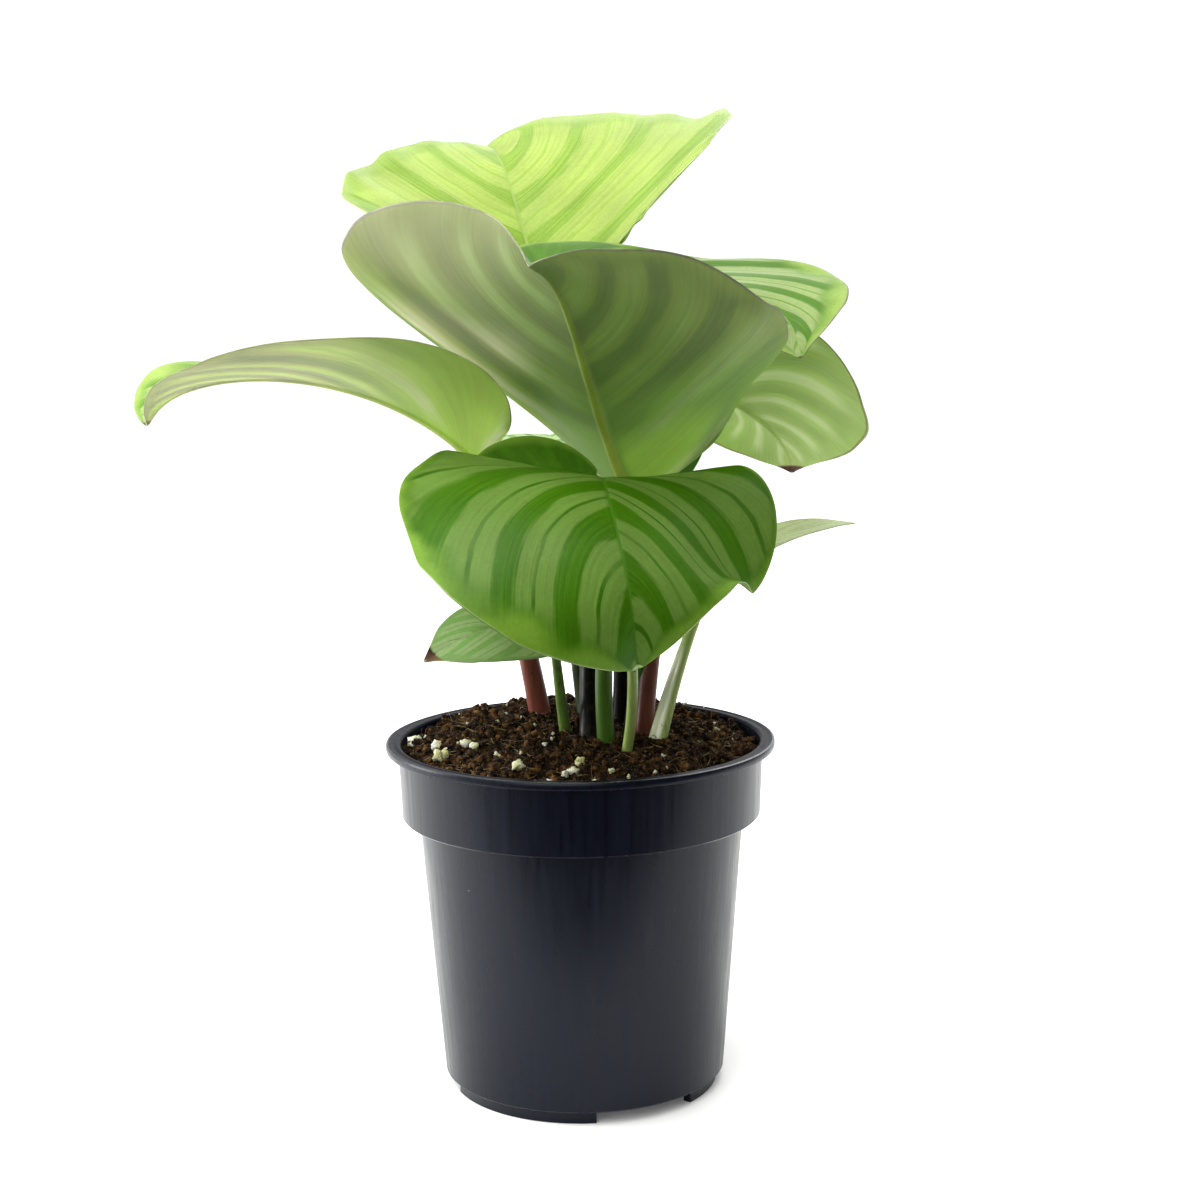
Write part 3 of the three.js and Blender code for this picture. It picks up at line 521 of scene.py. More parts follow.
def upperSide(name, look):
    material, shader = newMaterial("leafUpperSide_" + name, IOR=1.42, Specular_IOR_Level=0.22)
    add = partial(addNode, material)
    phase, outward, down, fromRib, place = leafPlaces(material)
    waver = add("TexNoise", {"Vector": place, "Scale": 70, "Detail": 1})  # 14 mm sway
    blotch = add("TexNoise", {"Vector": place, "Scale": 38, "Detail": 2})  # 26 mm clouds
    fine = add("TexNoise", {"Vector": place, "Scale": 900, "Detail": 2})  # 1 mm cells
    streak = veinStreaks(material, phase, outward, 19)
    sway = add("MapRange", {0: waver, 1: 0.3, 2: 0.7, 3: -0.03, 4: 0.03})
    count = add("Math", {0: phase, 1: sway})
    swing = add("Math", {0: count, 1: 0.5}, operation="PINGPONG")  # 0 in a dark band, 0.5 in a pale one
    ragged = add("MapRange", {0: streak, 1: 0.3, 2: 0.7, 3: -0.02, 4: 0.02})
    narrow = add("MapRange", {0: outward, 1: 0, 2: 0.3, 3: -0.09, 4: 0}, **smooth)
    swung = add("Math", {0: swing, 1: ragged})
    level = add("Math", {0: swung, 1: narrow})
    slim = look.get("slim", 0)
    banded = add("MapRange", {0: level, 1: 0.145 - slim, 2: 0.215 - slim}, **smooth)
    wander = add("MapRange", {0: waver, 1: 0.3, 2: 0.7, 3: -0.05, 4: 0.05})
    outer = add("Math", {0: outward, 1: wander})
    inner = add("MapRange", {0: outer, 1: 0.82, 2: 0.96, 3: 1, 4: 0}, **smooth)
    if look.get("plainLobes"):  # no pale bands behind the stalk
        ahead = add("MapRange", {0: down, 1: -0.04, 2: 0.03})
        inner = add("Math", {0: inner, 1: ahead}, operation="MULTIPLY")
    banded = add("Math", {0: banded, 1: inner}, operation="MULTIPLY")
    tint = add("MapRange", {0: streak, 1: 0.3, 2: 0.72})
    dark, pale = linear(look["dark"]), linear(look["pale"])
    darkSide = add("Mix", {0: tint, 6: scaled(dark, 0.8), 7: scaled(dark, 1.22)}, data_type="RGBA")
    paleSide = add("Mix", {0: tint, 6: scaled(pale, 0.88), 7: scaled(pale, 1.1)}, data_type="RGBA")
    colour = add("Mix", {0: banded, 6: darkSide, 7: paleSide}, data_type="RGBA")
    patchy = add("MapRange", {0: blotch, 1: 0.38, 2: 0.6, 3: 0.5, 4: 1})
    thin = add("MapRange", {0: swing, 1: 0.455, 2: 0.482}, **smooth)
    thin = add("Math", {0: thin, 1: banded}, operation="MULTIPLY")
    thin = add("Math", {0: thin, 1: patchy}, operation="MULTIPLY")
    colour = add("Mix", {0: thin, 6: colour, 7: look["line"]}, data_type="RGBA")
    rim = add("MapRange", {0: outer, 1: 0.86, 2: 1}, **smooth)
    colour = add("Mix", {0: rim, 6: colour, 7: look["margin"]}, data_type="RGBA")
    rib = ribMask(material, down, fromRib, 0.0085, 0.0025, 0.85)
    colour = add("Mix", {0: rib, 6: colour, 7: look["rib"]}, data_type="RGBA")
    cloud = add("MapRange", {0: blotch, 1: 0.3, 2: 0.7, 3: 0.9, 4: 1.1})
    cells = add("MapRange", {0: fine, 1: 0.3, 2: 0.7, 3: 0.94, 4: 1.06})
    shade = add("Math", {0: cloud, 1: cells}, operation="MULTIPLY")
    colour = add("VectorMath", {0: colour, 3: shade}, operation="SCALE")
    colour = brownTip(material, look, down, waver, colour)
    rough = add("MapRange", {0: streak, 1: 0.3, 2: 0.7, 3: 0.36, 4: 0.52})
    link(material, rough, shader, "Roughness")
    relief = add("Math", {0: fine, 1: 0.2, 2: streak}, operation="MULTIPLY_ADD")
    relief = add("Math", {0: thin, 1: -0.6, 2: relief}, operation="MULTIPLY_ADD")
    bump = add("Bump", {"Strength": 0.3, "Distance": 0.0003, "Height": relief})
    shineThrough(material, shader, colour, bump)
    return material


def lowerSide(name, look):
    material, shader = newMaterial("leafLowerSide_" + name, IOR=1.4, Roughness=0.55,
                                   Specular_IOR_Level=0.2)
    add = partial(addNode, material)
    phase, outward, down, fromRib, place = leafPlaces(material)
    waver = add("TexNoise", {"Vector": place, "Scale": 60, "Detail": 1})
    blotch = add("TexNoise", {"Vector": place, "Scale": 30, "Detail": 2})
    fine = add("TexNoise", {"Vector": place, "Scale": 900, "Detail": 2})
    streak = veinStreaks(material, phase, outward, 15)
    sway = add("MapRange", {0: waver, 1: 0.3, 2: 0.7, 3: -0.04, 4: 0.04})
    count = add("Math", {0: phase, 1: sway})
    swing = add("Math", {0: count, 1: 0.5}, operation="PINGPONG")
    banded = add("MapRange", {0: swing, 1: 0.26, 2: 0.46}, **smooth)
    # The veins fade at the margin, at the midrib and here and there.
    for ends in ({0: outward, 1: 0.75, 2: 0.98, 3: 1, 4: 0}, {0: outward, 1: 0.02, 2: 0.25},
                 {0: blotch, 1: 0.3, 2: 0.65, 3: 0.7, 4: 1}):
        banded = add("Math", {0: banded, 1: add("MapRange", ends, **smooth)}, operation="MULTIPLY")
    other = add("Math", {0: phase, 1: 10}, operation="GREATER_THAN")  # 1 in the right half
    faint = add("MapRange", {0: other, 3: look.get("faint", 1), 4: 1})
    banded = add("Math", {0: banded, 1: faint}, operation="MULTIPLY")
    # Painted light: the lower side turns from under to far down the leaf, paler and greyer towards the
    # tip, in place of light shining through the blade and its grazing sheen.
    fading = add("MapRange", {0: down, 1: 0.05, 2: 0.5}, **smooth)
    colour = add("Mix", {0: fading, 6: look["under"], 7: look["far"]}, data_type="RGBA")
    colour = add("Mix", {0: banded, 6: colour, 7: look["underPale"]}, data_type="RGBA")
    strength = add("MapRange", {0: down, 1: 0.1, 2: 0.9, 3: 1, 4: 0.35})
    rib = ribMask(material, down, fromRib, 0.017, 0.004, 0.9)
    rib = add("Math", {0: rib, 1: strength}, operation="MULTIPLY")
    colour = add("Mix", {0: rib, 6: colour, 7: look["rib"]}, data_type="RGBA")
    rim = add("MapRange", {0: outward, 1: 0.984, 2: 1}, **smooth)
    colour = add("Mix", {0: rim, 6: colour, 7: look["edge"]}, data_type="RGBA")
    cloud = add("MapRange", {0: blotch, 1: 0.3, 2: 0.7, 3: 0.92, 4: 1.08})
    cells = add("MapRange", {0: streak, 1: 0.3, 2: 0.7, 3: 0.94, 4: 1.06})
    shade = add("Math", {0: cloud, 1: cells}, operation="MULTIPLY")
    colour = add("VectorMath", {0: colour, 3: shade}, operation="SCALE")
    # Painted light: these factors lighten the parts of the lower side where shade falls, inside the
    # leaf's folded cone and under the blades above.
    for half, factors, across, along in look.get("shadeLifts", ()):
        part = add("MapRange", {0: outward, 1: across[0], 2: across[1]}, **smooth)
        for ends in ({0: outward, 1: across[2], 2: across[3], 3: 1, 4: 0},
                     {0: other, 3: 1 - half, 4: half},
                     {0: down, 1: along[0], 2: along[1], 3: 1, 4: along[2]}):
            part = add("Math", {0: part, 1: add("MapRange", ends, **smooth)}, operation="MULTIPLY")
        light = add("Mix", {0: part, 6: (1, 1, 1, 1), 7: (*factors, 1)}, data_type="RGBA")
        colour = add("VectorMath", {0: colour, 1: light}, operation="MULTIPLY")
    colour = brownTip(material, look, down, waver, colour)
    relief = add("Math", {0: fine, 1: 0.4, 2: streak}, operation="MULTIPLY_ADD")
    bump = add("Bump", {"Strength": 0.3, "Distance": 0.0004, "Height": relief})
    shineThrough(material, shader, colour, bump)
    return material


def scaled(colour, factor):
    return [min(1, c * factor) for c in colour[:3]] + [1]


def brownTip(material, look, down, waver, colour):  # dried tissue at the tip
    ragged = addNode(material, "Math", {0: waver, 1: 0.06, 2: down}, operation="MULTIPLY_ADD")
    dry = addNode(material, "MapRange", {0: ragged, 1: look["tip"] + 0.02, 2: look["tip"] + 0.035})
    patchy = addNode(material, "MapRange", {0: waver, 1: 0.4, 2: 0.6}, **smooth)
    brown = addNode(material, "Mix", {0: patchy, 6: "3a1f16", 7: "8a6a50"}, data_type="RGBA")
    return addNode(material, "Mix", {0: dry, 6: colour, 7: brown}, data_type="RGBA")


def shineThrough(material, shader, colour, bump):  # part of the light passes the blade
    link(material, colour, shader, "Base Color")
    link(material, bump, shader, "Normal")
    warm = addNode(material, "VectorMath", {0: colour, 1: tissue["filter"]}, operation="MULTIPLY")
    glow = addNode(material, "BsdfTranslucent", {"Color": warm, "Normal": bump})
    both = addNode(material, "MixShader", {0: tissue["through"], 1: shader.outputs[0], 2: glow})
    output = material.node_tree.nodes["Material Output"]
    material.node_tree.links.new(both, output.inputs["Surface"])


def cutEdge(name, look):
    material, shader = newMaterial("leafEdge_" + name, IOR=1.4, Roughness=0.5)
    add = partial(addNode, material)
    place = add("TexCoord").node.outputs["Object"]
    patch = add("TexNoise", {"Vector": place, "Scale": 160, "Detail": 2})
    part = add("MapRange", {0: patch, 1: 0.35, 2: 0.65})
    edge = linear(look["edge"])
    colour = add("Mix", {0: part, 6: edge, 7: scaled(edge, 0.6)}, data_type="RGBA")
    link(material, colour, shader, "Base Color")
    return material


for name, leaf in leaves.items():
    blade = makeBlade(name, leaf, looks[name])
    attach(blade, "root")
    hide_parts("blade_" + name)
print("leaves made:", len(leaves))


# Leaf stalks: smooth round petioles with a groove, thickened just under the blade.
# low and high are the colours at the soil and under the blade, streak the darker flecks.
# Painted shade: the nearly black low colours of back, right_high and front_small stand partly for dark
# old sheaths and partly for the shade deep among the stalk bases.
stalkLooks = {
    "back": {"low": "050404", "high": "5c7a38", "streak": "2e1f10", "turn": 0.55, "shine": 0.15},
    "centre": {"low": "3d5c12", "high": "7f9a48", "streak": "263f0c", "turn": 0.5, "shine": 0.3},
    "right_high": {"low": "0c0807", "high": "6f8a44", "streak": "2a1b0e", "turn": 0.55, "shine": 0.15},
    "right_low": {"low": "6e3a30", "high": "93a458", "streak": "4a2420", "turn": 0.6, "shine": 0.3},
    "front": {"low": "93a85c", "high": "8fac56", "streak": "7a8a48", "turn": 0.5, "shine": 0.35},
    "left": {"low": "7c4438", "high": "a9b862", "streak": "5c3028", "turn": 0.75, "shine": 0.35},
    "left_small": {"low": "66803c", "high": "6f8c46", "streak": "2e3a1c", "turn": 0.5, "shine": 0.3},
    "right_small": {"low": "a6b86c", "high": "93ab5a", "streak": "7c8f50", "turn": 0.5, "shine": 0.35},
    "rear_small": {"low": "2c3818", "high": "8fb060", "streak": "1c260e", "turn": 0.5, "shine": 0.25},
    "front_small": {"low": "0c0806", "high": "3c5226", "streak": "241a0e", "turn": 0.6, "shine": 0.2},
    "inner_small": {"low": "24300f", "high": "4f7434", "streak": "20280f", "turn": 0.5, "shine": 0.25},
}
stalkMake = {"sides": 20, "rings": 46, "tuck": 0.07, "joint": 0.12}


def makeStalk(name, leaf, look):
    make = stalkMake
    rib = leaf["rib"]
    low, neck, top = leaf["r"]
    tuckRings = 6
    stalkRings = make["rings"] - tuckRings
    centres = []
    ups = Vector(leaf["face"][0])
    tangent = curveDirection(rib, 0)
    ups = (ups - tangent * ups.dot(tangent)).normalized()
    for i, place in enumerate(evenPlaces(leaf["stalk"], stalkRings)):
        u = i / stalkRings
        radius = low + (neck - low) * 2 * u if u < 0.5 else neck + (top - neck) * (2 * u - 1)
        radius *= 1 + make["joint"] * ease(0.84, 0.9, u) * (1 - ease(0.94, 1, u))
        centres.append((curvePoint(leaf["stalk"], place) - ups * top * 0.7 * ease(0.88, 1, u), radius))
    for i in range(1, tuckRings + 1):
        s = make["tuck"] * i / tuckRings
        part = i / tuckRings
        centres.append((curvePoint(rib, s) - ups * top * (0.7 - 0.35 * part), top * (1 - 0.5 * part)))
    deselectAll()
    bpy.ops.mesh.primitive_grid_add(x_subdivisions=make["sides"], y_subdivisions=make["rings"], size=2)
    stalk = bpy.context.object
    stalk.name = stalk.data.name = "petiole_" + name
    mesh = stalk.data
    mesh.uv_layers[0].name = "stalk"  # round the stalk, up the stalk
    rings = []
    side = Vector((1, 0, 0))
    for i, (centre, radius) in enumerate(centres):
        along = (centres[min(i + 1, len(centres) - 1)][0] - centres[max(i - 1, 0)][0]).normalized()
        side = (side - along * side.dot(along)).normalized()
        rings.append((centre, radius, side.copy(), along.cross(side)))
    for vertex in mesh.vertices:
        ring = round((vertex.co.y + 1) / 2 * make["rings"])
        centre, radius, side, other = rings[ring]
        angle = math.pi * (vertex.co.x + 1)
        radius *= crossShape(name, angle, ring / make["rings"])
        vertex.co = toWorld(centre + (side * math.cos(angle) + other * math.sin(angle)) * radius)
    bpy.ops.object.mode_set(mode="EDIT")
    bpy.ops.mesh.select_all(action="SELECT")
    bpy.ops.mesh.remove_doubles(threshold=0.000005)
    selectOpenEdges()
    bpy.ops.mesh.edge_face_add()
    smoothOutside()
    setMaterials(stalk, [petioleSkin(name, look)])
    return stalk


def crossShape(name, angle, u):  # the small right leaf's stalk opens below into a hollow sheath
    if name == "right_small":
        gap = math.cos((angle - math.pi * 1.28) / 2) ** 2
        return 1 - 0.62 * gap ** 6 * (1 - ease(0.35, 0.7, u))
    return 1 + 0.03 * math.cos(3 * angle)


def petioleSkin(name, look):
    # Petiole: fleshy stem with a smooth skin, so a soft shine and fine streaks along its length.
    material, shader = newMaterial("petiole_" + name, IOR=1.42, Specular_IOR_Level=look["shine"])
    add = partial(addNode, material)
    stalkMap = add("UVMap", uv_map="stalk")
    around = add("SeparateXYZ", {0: stalkMap})
    up = around.node.outputs["Y"]
    place = add("TexCoord").node.outputs["Object"]
    stretched = add("Mapping", {"Vector": place, "Scale": (1, 1, 0.06)})
    streak = add("TexNoise", {"Vector": stretched, "Scale": 900, "Detail": 3})
    fleck = add("TexNoise", {"Vector": place, "Scale": 420, "Detail": 2})
    change = add("MapRange", {0: up, 1: look["turn"] - 0.3, 2: look["turn"] + 0.25}, **smooth)
    colour = add("Mix", {0: change, 6: look["low"], 7: look["high"]}, data_type="RGBA")
    streaked = add("MapRange", {0: streak, 1: 0.5, 2: 0.72, 3: 0, 4: 0.6})
    colour = add("Mix", {0: streaked, 6: colour, 7: look["streak"]}, data_type="RGBA")
    if name == "right_small":  # the pale hollow of the sheath and its dry dark lip
        near = add("Math", {0: around, 1: 0.64}, operation="SUBTRACT")
        near = add("Math", {0: near}, operation="ABSOLUTE")
        hollow = add("MapRange", {0: near, 1: 0.13, 2: 0.17, 3: 1, 4: 0})
        ends = add("MapRange", {0: up, 1: 0.4, 2: 0.6, 3: 1, 4: 0}, **smooth)
        hollow = add("Math", {0: hollow, 1: ends}, operation="MULTIPLY")
        colour = add("Mix", {0: hollow, 6: colour, 7: "d9dbc0"}, data_type="RGBA")
    spots = add("MapRange", {0: fleck, 1: 0.7, 2: 0.74, 3: 0, 4: 0.8})
    colour = add("Mix", {0: spots, 6: colour, 7: "33241a"}, data_type="RGBA")
    link(material, colour, shader, "Base Color")
    rough = add("MapRange", {0: streak, 1: 0.3, 2: 0.7, 3: 0.3, 4: 0.5})
    link(material, rough, shader, "Roughness")
    bump = add("Bump", {"Strength": 0.4, "Distance": 0.0003, "Height": streak})
    link(material, bump, shader, "Normal")
    return material


for name, leaf in leaves.items():
    stalk = makeStalk(name, leaf, stalkLooks[name])
    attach(stalk, "root")
    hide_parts("stalk_" + name)
print("stalks made:", len(leaves))


# The pot: one turned shell, drawn up from the middle of its floor, over the rim and down inside.
potMake = {
    "sides": 180, "rim": 60, "rimThick": 2.5, "height": 108.8, "collarZ": 85.4, "collar": (55.4, 56.2),
    "body": (43.7, 50.2), "wall": 1.2, "ledge": 1.6, "footR": 41.4, "footThick": 2.5, "footHigh": 4,
    "footNotch": 46, "footNotchAt": (57.5, 177.5, 297.5), "drainR": 4.5, "drainRing": 25, "drains": 5,
    "rimTop": 1.7, "lip": 0.6,  # how far the dull rim reaches down, and the worn lip round it
    "shine": {"Wall": 0.24, "Rim": 0.015},
}


def fromAxis(face):  # a face's middle in mm from the foot of the pot's axis, and how far out it lies
    centre = face.center * 1000 - potAxis
    return centre, math.hypot(centre.x, centre.y)


def potProfile():  # radius and height of the rings: up the wall, over the rim and down inside
    make = potMake
    rim, top, wall = make["rim"], make["height"], make["wall"]
    bodyLow, bodyHigh = make["body"]
    collarLow, collarHigh = make["collar"]
    collarZ, floorZ = make["collarZ"], make["footHigh"]
    under = top - make["rimThick"]
    ledge = collarZ + make["ledge"]
    return [
        (make["footR"], floorZ), (bodyLow - 0.5, floorZ), (bodyLow + 0.03, floorZ + 0.5),
        (bodyHigh - 0.05, collarZ - 0.6), (bodyHigh + 0.6, collarZ), (collarLow - 0.7, collarZ),
        (collarLow, collarZ + 0.6), (collarHigh - 0.02, under - 0.7), (collarHigh + 0.6, under),
        (rim - 0.7, under), (rim - 0.15, under + 0.3), (rim, under + 0.8), (rim - 0.02, top - 0.7),
        (rim - 0.25, top - 0.2), (rim - 0.8, top), (rim - 1.3, top - 0.02), (rim - 1.7, top - 0.28),
        (collarHigh + 1.0, top - 0.3), (collarHigh + 0.5, top - 0.12), (collarHigh - 0.1, top - 0.2),
        (collarHigh - 0.7, top - 0.6), (collarHigh - 1.05, top - 1.4), (collarHigh - wall, top - 2.4),
        (collarLow - wall, ledge), (bodyHigh - wall, ledge), (bodyLow - wall, floorZ + wall),
    ]


def drainCutter():  # one upright rod for each drain hole
    make = potMake
    drains = []
    for k in range(make["drains"] + 1):
        turn = 2 * math.pi * k / make["drains"]
        ring = make["drainRing"] if k < make["drains"] else 0
        spot = toWorld((*onRing(ring, turn), make["footHigh"] + 0.6))
        bpy.ops.mesh.primitive_cylinder_add(vertices=40, radius=make["drainR"] / 1000, depth=0.004,
                                            location=spot)
        drains.append(bpy.context.object)
    return joinPieces(drains, "drain_cutter")


def makePot():
    make = potMake
    floorZ = make["footHigh"]
    inner = make["footR"] - make["footThick"]
    deselectAll()
    bpy.ops.mesh.primitive_circle_add(vertices=make["sides"], radius=inner / 1000, fill_type="NGON",
                                      location=toWorld((0, 0, floorZ)),
                                      rotation=(math.pi, 0, math.radians(0.5)))
    pot = bpy.context.object
    pot.name = pot.data.name = "grower_pot"
    bpy.ops.object.transform_apply(location=True, rotation=True, scale=True)
    bpy.ops.object.mode_set(mode="EDIT")
    bpy.ops.mesh.select_mode(type="FACE")
    bpy.ops.mesh.select_all(action="SELECT")
    radius, z = inner, floorZ
    for newRadius, newZ in potProfile():
        bpy.ops.mesh.extrude_region_move(TRANSFORM_OT_translate={"value": (0, 0, (newZ - z) / 1000)})
        scale = newRadius / radius
        bpy.ops.transform.resize(value=(scale, scale, 1), center_override=toWorld((0, 0, newZ)))
        radius, z = newRadius, newZ
    bpy.ops.mesh.select_all(action="SELECT")
    bpy.ops.mesh.remove_doubles(threshold=0.000001)
    bpy.ops.mesh.normals_make_consistent(inside=False)
    bpy.ops.mesh.select_all(action="DESELECT")
    bpy.ops.object.mode_set(mode="OBJECT")
    for face in pot.data.polygons:  # the ring that the three feet are drawn down from
        centre, far = fromAxis(face)
        turn = math.degrees(math.atan2(centre.y, centre.x)) % 360
        turns = [abs((turn - at + 180) % 360 - 180) for at in make["footNotchAt"]]
        notch = min(turns) < make["footNotch"] / 2
        face.select = inner < far < make["footR"] and abs(centre.z - floorZ) < 0.2 and not notch
    bpy.ops.object.mode_set(mode="EDIT")
    bpy.ops.mesh.extrude_region_move(TRANSFORM_OT_translate={"value": (0, 0, -make["footHigh"] / 1000)})
    bpy.ops.object.mode_set(mode="OBJECT")
    cutter = drainCutter()
    pickOnly(pot)
    holes = pot.modifiers.new("drain holes", "BOOLEAN")
    holes.object = cutter
    holes.operation = "DIFFERENCE"
    holes.solver = "EXACT"
    rounded = pot.modifiers.new("soft edges", "BEVEL")
    rounded.width = 0.00025
    rounded.segments = 2
    rounded.limit_method = "ANGLE"
    rounded.angle_limit = math.radians(50)
    applyModifiers(pot)
    bpy.data.objects.remove(cutter)
    pickOnly(pot)
    bpy.ops.object.shade_smooth_by_angle(angle=math.radians(38))
    setMaterials(pot, [blackPolypropylene(part, shine) for part, shine in make["shine"].items()])
    for face in pot.data.polygons:
        centre, far = fromAxis(face)
        onRim = centre.z > make["height"] - make["rimTop"] and far < make["rim"] - make["lip"]
        face.material_index = int(onRim)
    return pot


def blackPolypropylene(part, shine):
    # Recycled black polypropylene, injection moulded: a bluish black with a soft gloss, faint flow
    # streaks down the wall, and dry specks of dust and scuffs from handling. Soil dust dulls the rim.
    material, shader = newMaterial("blackPolypropylene" + part, IOR=1.49, Specular_IOR_Level=shine,
                                   Specular_Tint=(0.86, 0.92, 1, 1))
    add = partial(addNode, material)
    place = add("TexCoord").node.outputs["Object"]
    centred = add("Mapping", {"Vector": place, "Location": tuple(-potAxis / 1000)})
    drawn = add("Mapping", {"Vector": centred, "Scale": (1, 1, 0.02)})
    flow = add("TexNoise", {"Vector": drawn, "Scale": 520, "Detail": 3})  # 2 mm streaks
    broad = add("TexNoise", {"Vector": centred, "Scale": 28, "Detail": 3})
    grain = add("TexNoise", {"Vector": centred, "Scale": 2600, "Detail": 2})
    streaks = add("MapRange", {0: flow, 1: 0.35, 2: 0.75})
    base = add("Mix", {0: streaks, 6: "01020f", 7: "040618"}, data_type="RGBA")
    haze = add("MapRange", {0: broad, 1: 0.4, 2: 0.8, 3: 0, 4: 0.3})
    colour = add("Mix", {0: haze, 6: base, 7: "0d0f18"}, data_type="RGBA")
    cells = add("TexVoronoi", {"Vector": centred, "Scale": 95})  # a speck every 10 mm or so
    chosen = add("SeparateColor", {0: cells.node.outputs["Color"]})
    small = add("Math", {0: chosen, 1: 0.028}, operation="MULTIPLY")
    inside = add("Math", {0: cells, 1: small}, operation="LESS_THAN")
    rare = add("Math", {0: chosen.node.outputs["Green"], 1: 0.62}, operation="GREATER_THAN")
    speck = add("Math", {0: inside, 1: rare}, operation="MULTIPLY")
    colour = add("Mix", {0: speck, 6: colour, 7: "b9b6ae"}, data_type="RGBA")
    link(material, colour, shader, "Base Color")
    rough = add("MapRange", {0: flow, 1: 0.3, 2: 0.75, 3: 0.2, 4: 0.33})
    worn = add("Math", {0: broad, 1: 0.12, 2: rough}, operation="MULTIPLY_ADD")
    dusty = add("Math", {0: speck, 1: 0.5, 2: worn}, operation="MULTIPLY_ADD")
    link(material, dusty, shader, "Roughness")
    relief = add("Math", {0: grain, 1: 0.25, 2: flow}, operation="MULTIPLY_ADD")
    bump = add("Bump", {"Strength": 0.12, "Distance": 0.0004, "Height": relief})
    link(material, bump, shader, "Normal")
    return material


pot = makePot()
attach(pot, "root")
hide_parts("pot")
print("pot made")


# The soil: moist peat with crumbs, fibres and white perlite.
soilMake = {
    "edgeZ": 105, "rise": 7.5, "heap": 3.2,  # its height at the wall, in the middle and at the back
    "lump": (9, 2.6), "crumb": (4.3, 1.6), "radius": 54.9, "cells": 190,
    "wall": ((-9, 0.997), (-8.7, 0.9845), (0, 0.893), (-80, 0.868)), "floorZ": 5.6,  # steps down the pot
    "crumbs": 3000, "crumbKinds": 4, "crumbSize": (0.6, 2.0), "perlite": 46, "spin": 6.28, "seed": 12,
    "fibres": 520, "fibreLength": (1.5, 6), "fibreThick": (0.14, 0.42),
    "hairs": 90, "hairLength": (2, 5), "hairThick": 0.13, "fibreSteps": 8,
}
perliteSpots = [  # the larger lumps: x, y and size
    (-51.5, 1, 3.0), (-50.5, 4, 2.4), (-42, -21, 2.6), (-43.5, -10, 2.2), (-34.5, -12.5, 2.9),
    (-32, -16, 2.0), (-25, -29, 2.0), (-18.5, -39.5, 2.3), (-13, -49, 2.4), (-9.5, -50, 2.0),
    (-2.5, -42.5, 2.4), (-0.5, -39, 2.8), (-5, -45, 2.0), (9, -43.5, 1.7), (24, -32, 1.6),
    (43, 10, 1.5), (42.5, 20.5, 1.6), (24.5, -10.5, 1.5), (35, 40, 1.4), (-24, 26, 1.3), (4.5, -49, 1.6),
]


def cornerValue(ix, iy, seed):  # an even random number for a corner of the net
    s = math.sin(ix * 127.1 + iy * 311.7 + seed * 74.7) * 43758.5453
    return s - math.floor(s)


def netNoise(x, y, size, seed):
    gx, gy = x / size, y / size
    ix, iy = math.floor(gx), math.floor(gy)
    fx, fy = ((a * a * (3 - 2 * a)) for a in (gx - ix, gy - iy))
    low = cornerValue(ix, iy, seed) * (1 - fx) + cornerValue(ix + 1, iy, seed) * fx
    high = cornerValue(ix, iy + 1, seed) * (1 - fx) + cornerValue(ix + 1, iy + 1, seed) * fx
    return low * (1 - fy) + high * fy - 0.5


def soilHeight(x, y):
    make = soilMake
    mound = make["rise"] * (1 - (x * x + y * y) / 55 ** 2)
    lumps = make["lump"][1] * netNoise(x, y, make["lump"][0], 1)
    lumps += make["crumb"][1] * netNoise(x, y, make["crumb"][0], 2)
    heap = make["heap"] * ease(0.25, 0.8, y / 55)  # it lies higher at the back
    return make["edgeZ"] + mound + heap + lumps


def soilSurface(x, y):  # with the finest crumbs
    rough = noise.fractal(Vector((x * 0.9, y * 0.9, 3.7)), 0.6, 2.1, 4)
    pits = abs(noise.noise(Vector((x * 1.7, y * 1.7, 9.1))))
    return soilHeight(x, y) + 0.55 * rough + 0.7 * pits - 0.35


def makeSoil():
    make = soilMake
    deselectAll()
    bpy.ops.mesh.primitive_grid_add(x_subdivisions=make["cells"], y_subdivisions=make["cells"], size=2)
    soil = bpy.context.object
    soil.name = soil.data.name = "peat_soil"
    for vertex in soil.data.vertices:  # the square grid is rounded to a disc
        a, b = vertex.co.x, vertex.co.y
        x = make["radius"] * a * math.sqrt(1 - b * b / 2)
        y = make["radius"] * b * math.sqrt(1 - a * a / 2)
        vertex.co = toWorld((x, y, soilSurface(x, y)))
    bpy.ops.object.mode_set(mode="EDIT")
    selectOpenEdges()
    for drop, scale in make["wall"]:
        bpy.ops.mesh.extrude_region_move(TRANSFORM_OT_translate={"value": (0, 0, drop / 1000)})
        bpy.ops.transform.resize(value=(scale, scale, 1), center_override=toWorld((0, 0, make["edgeZ"])))
    bpy.ops.transform.resize(value=(1, 1, 0), center_override=toWorld((0, 0, make["floorZ"])))
    bpy.ops.mesh.edge_face_add()
    smoothOutside()
    setMaterials(soil, [peat("peat", 1.0)])
    return soil


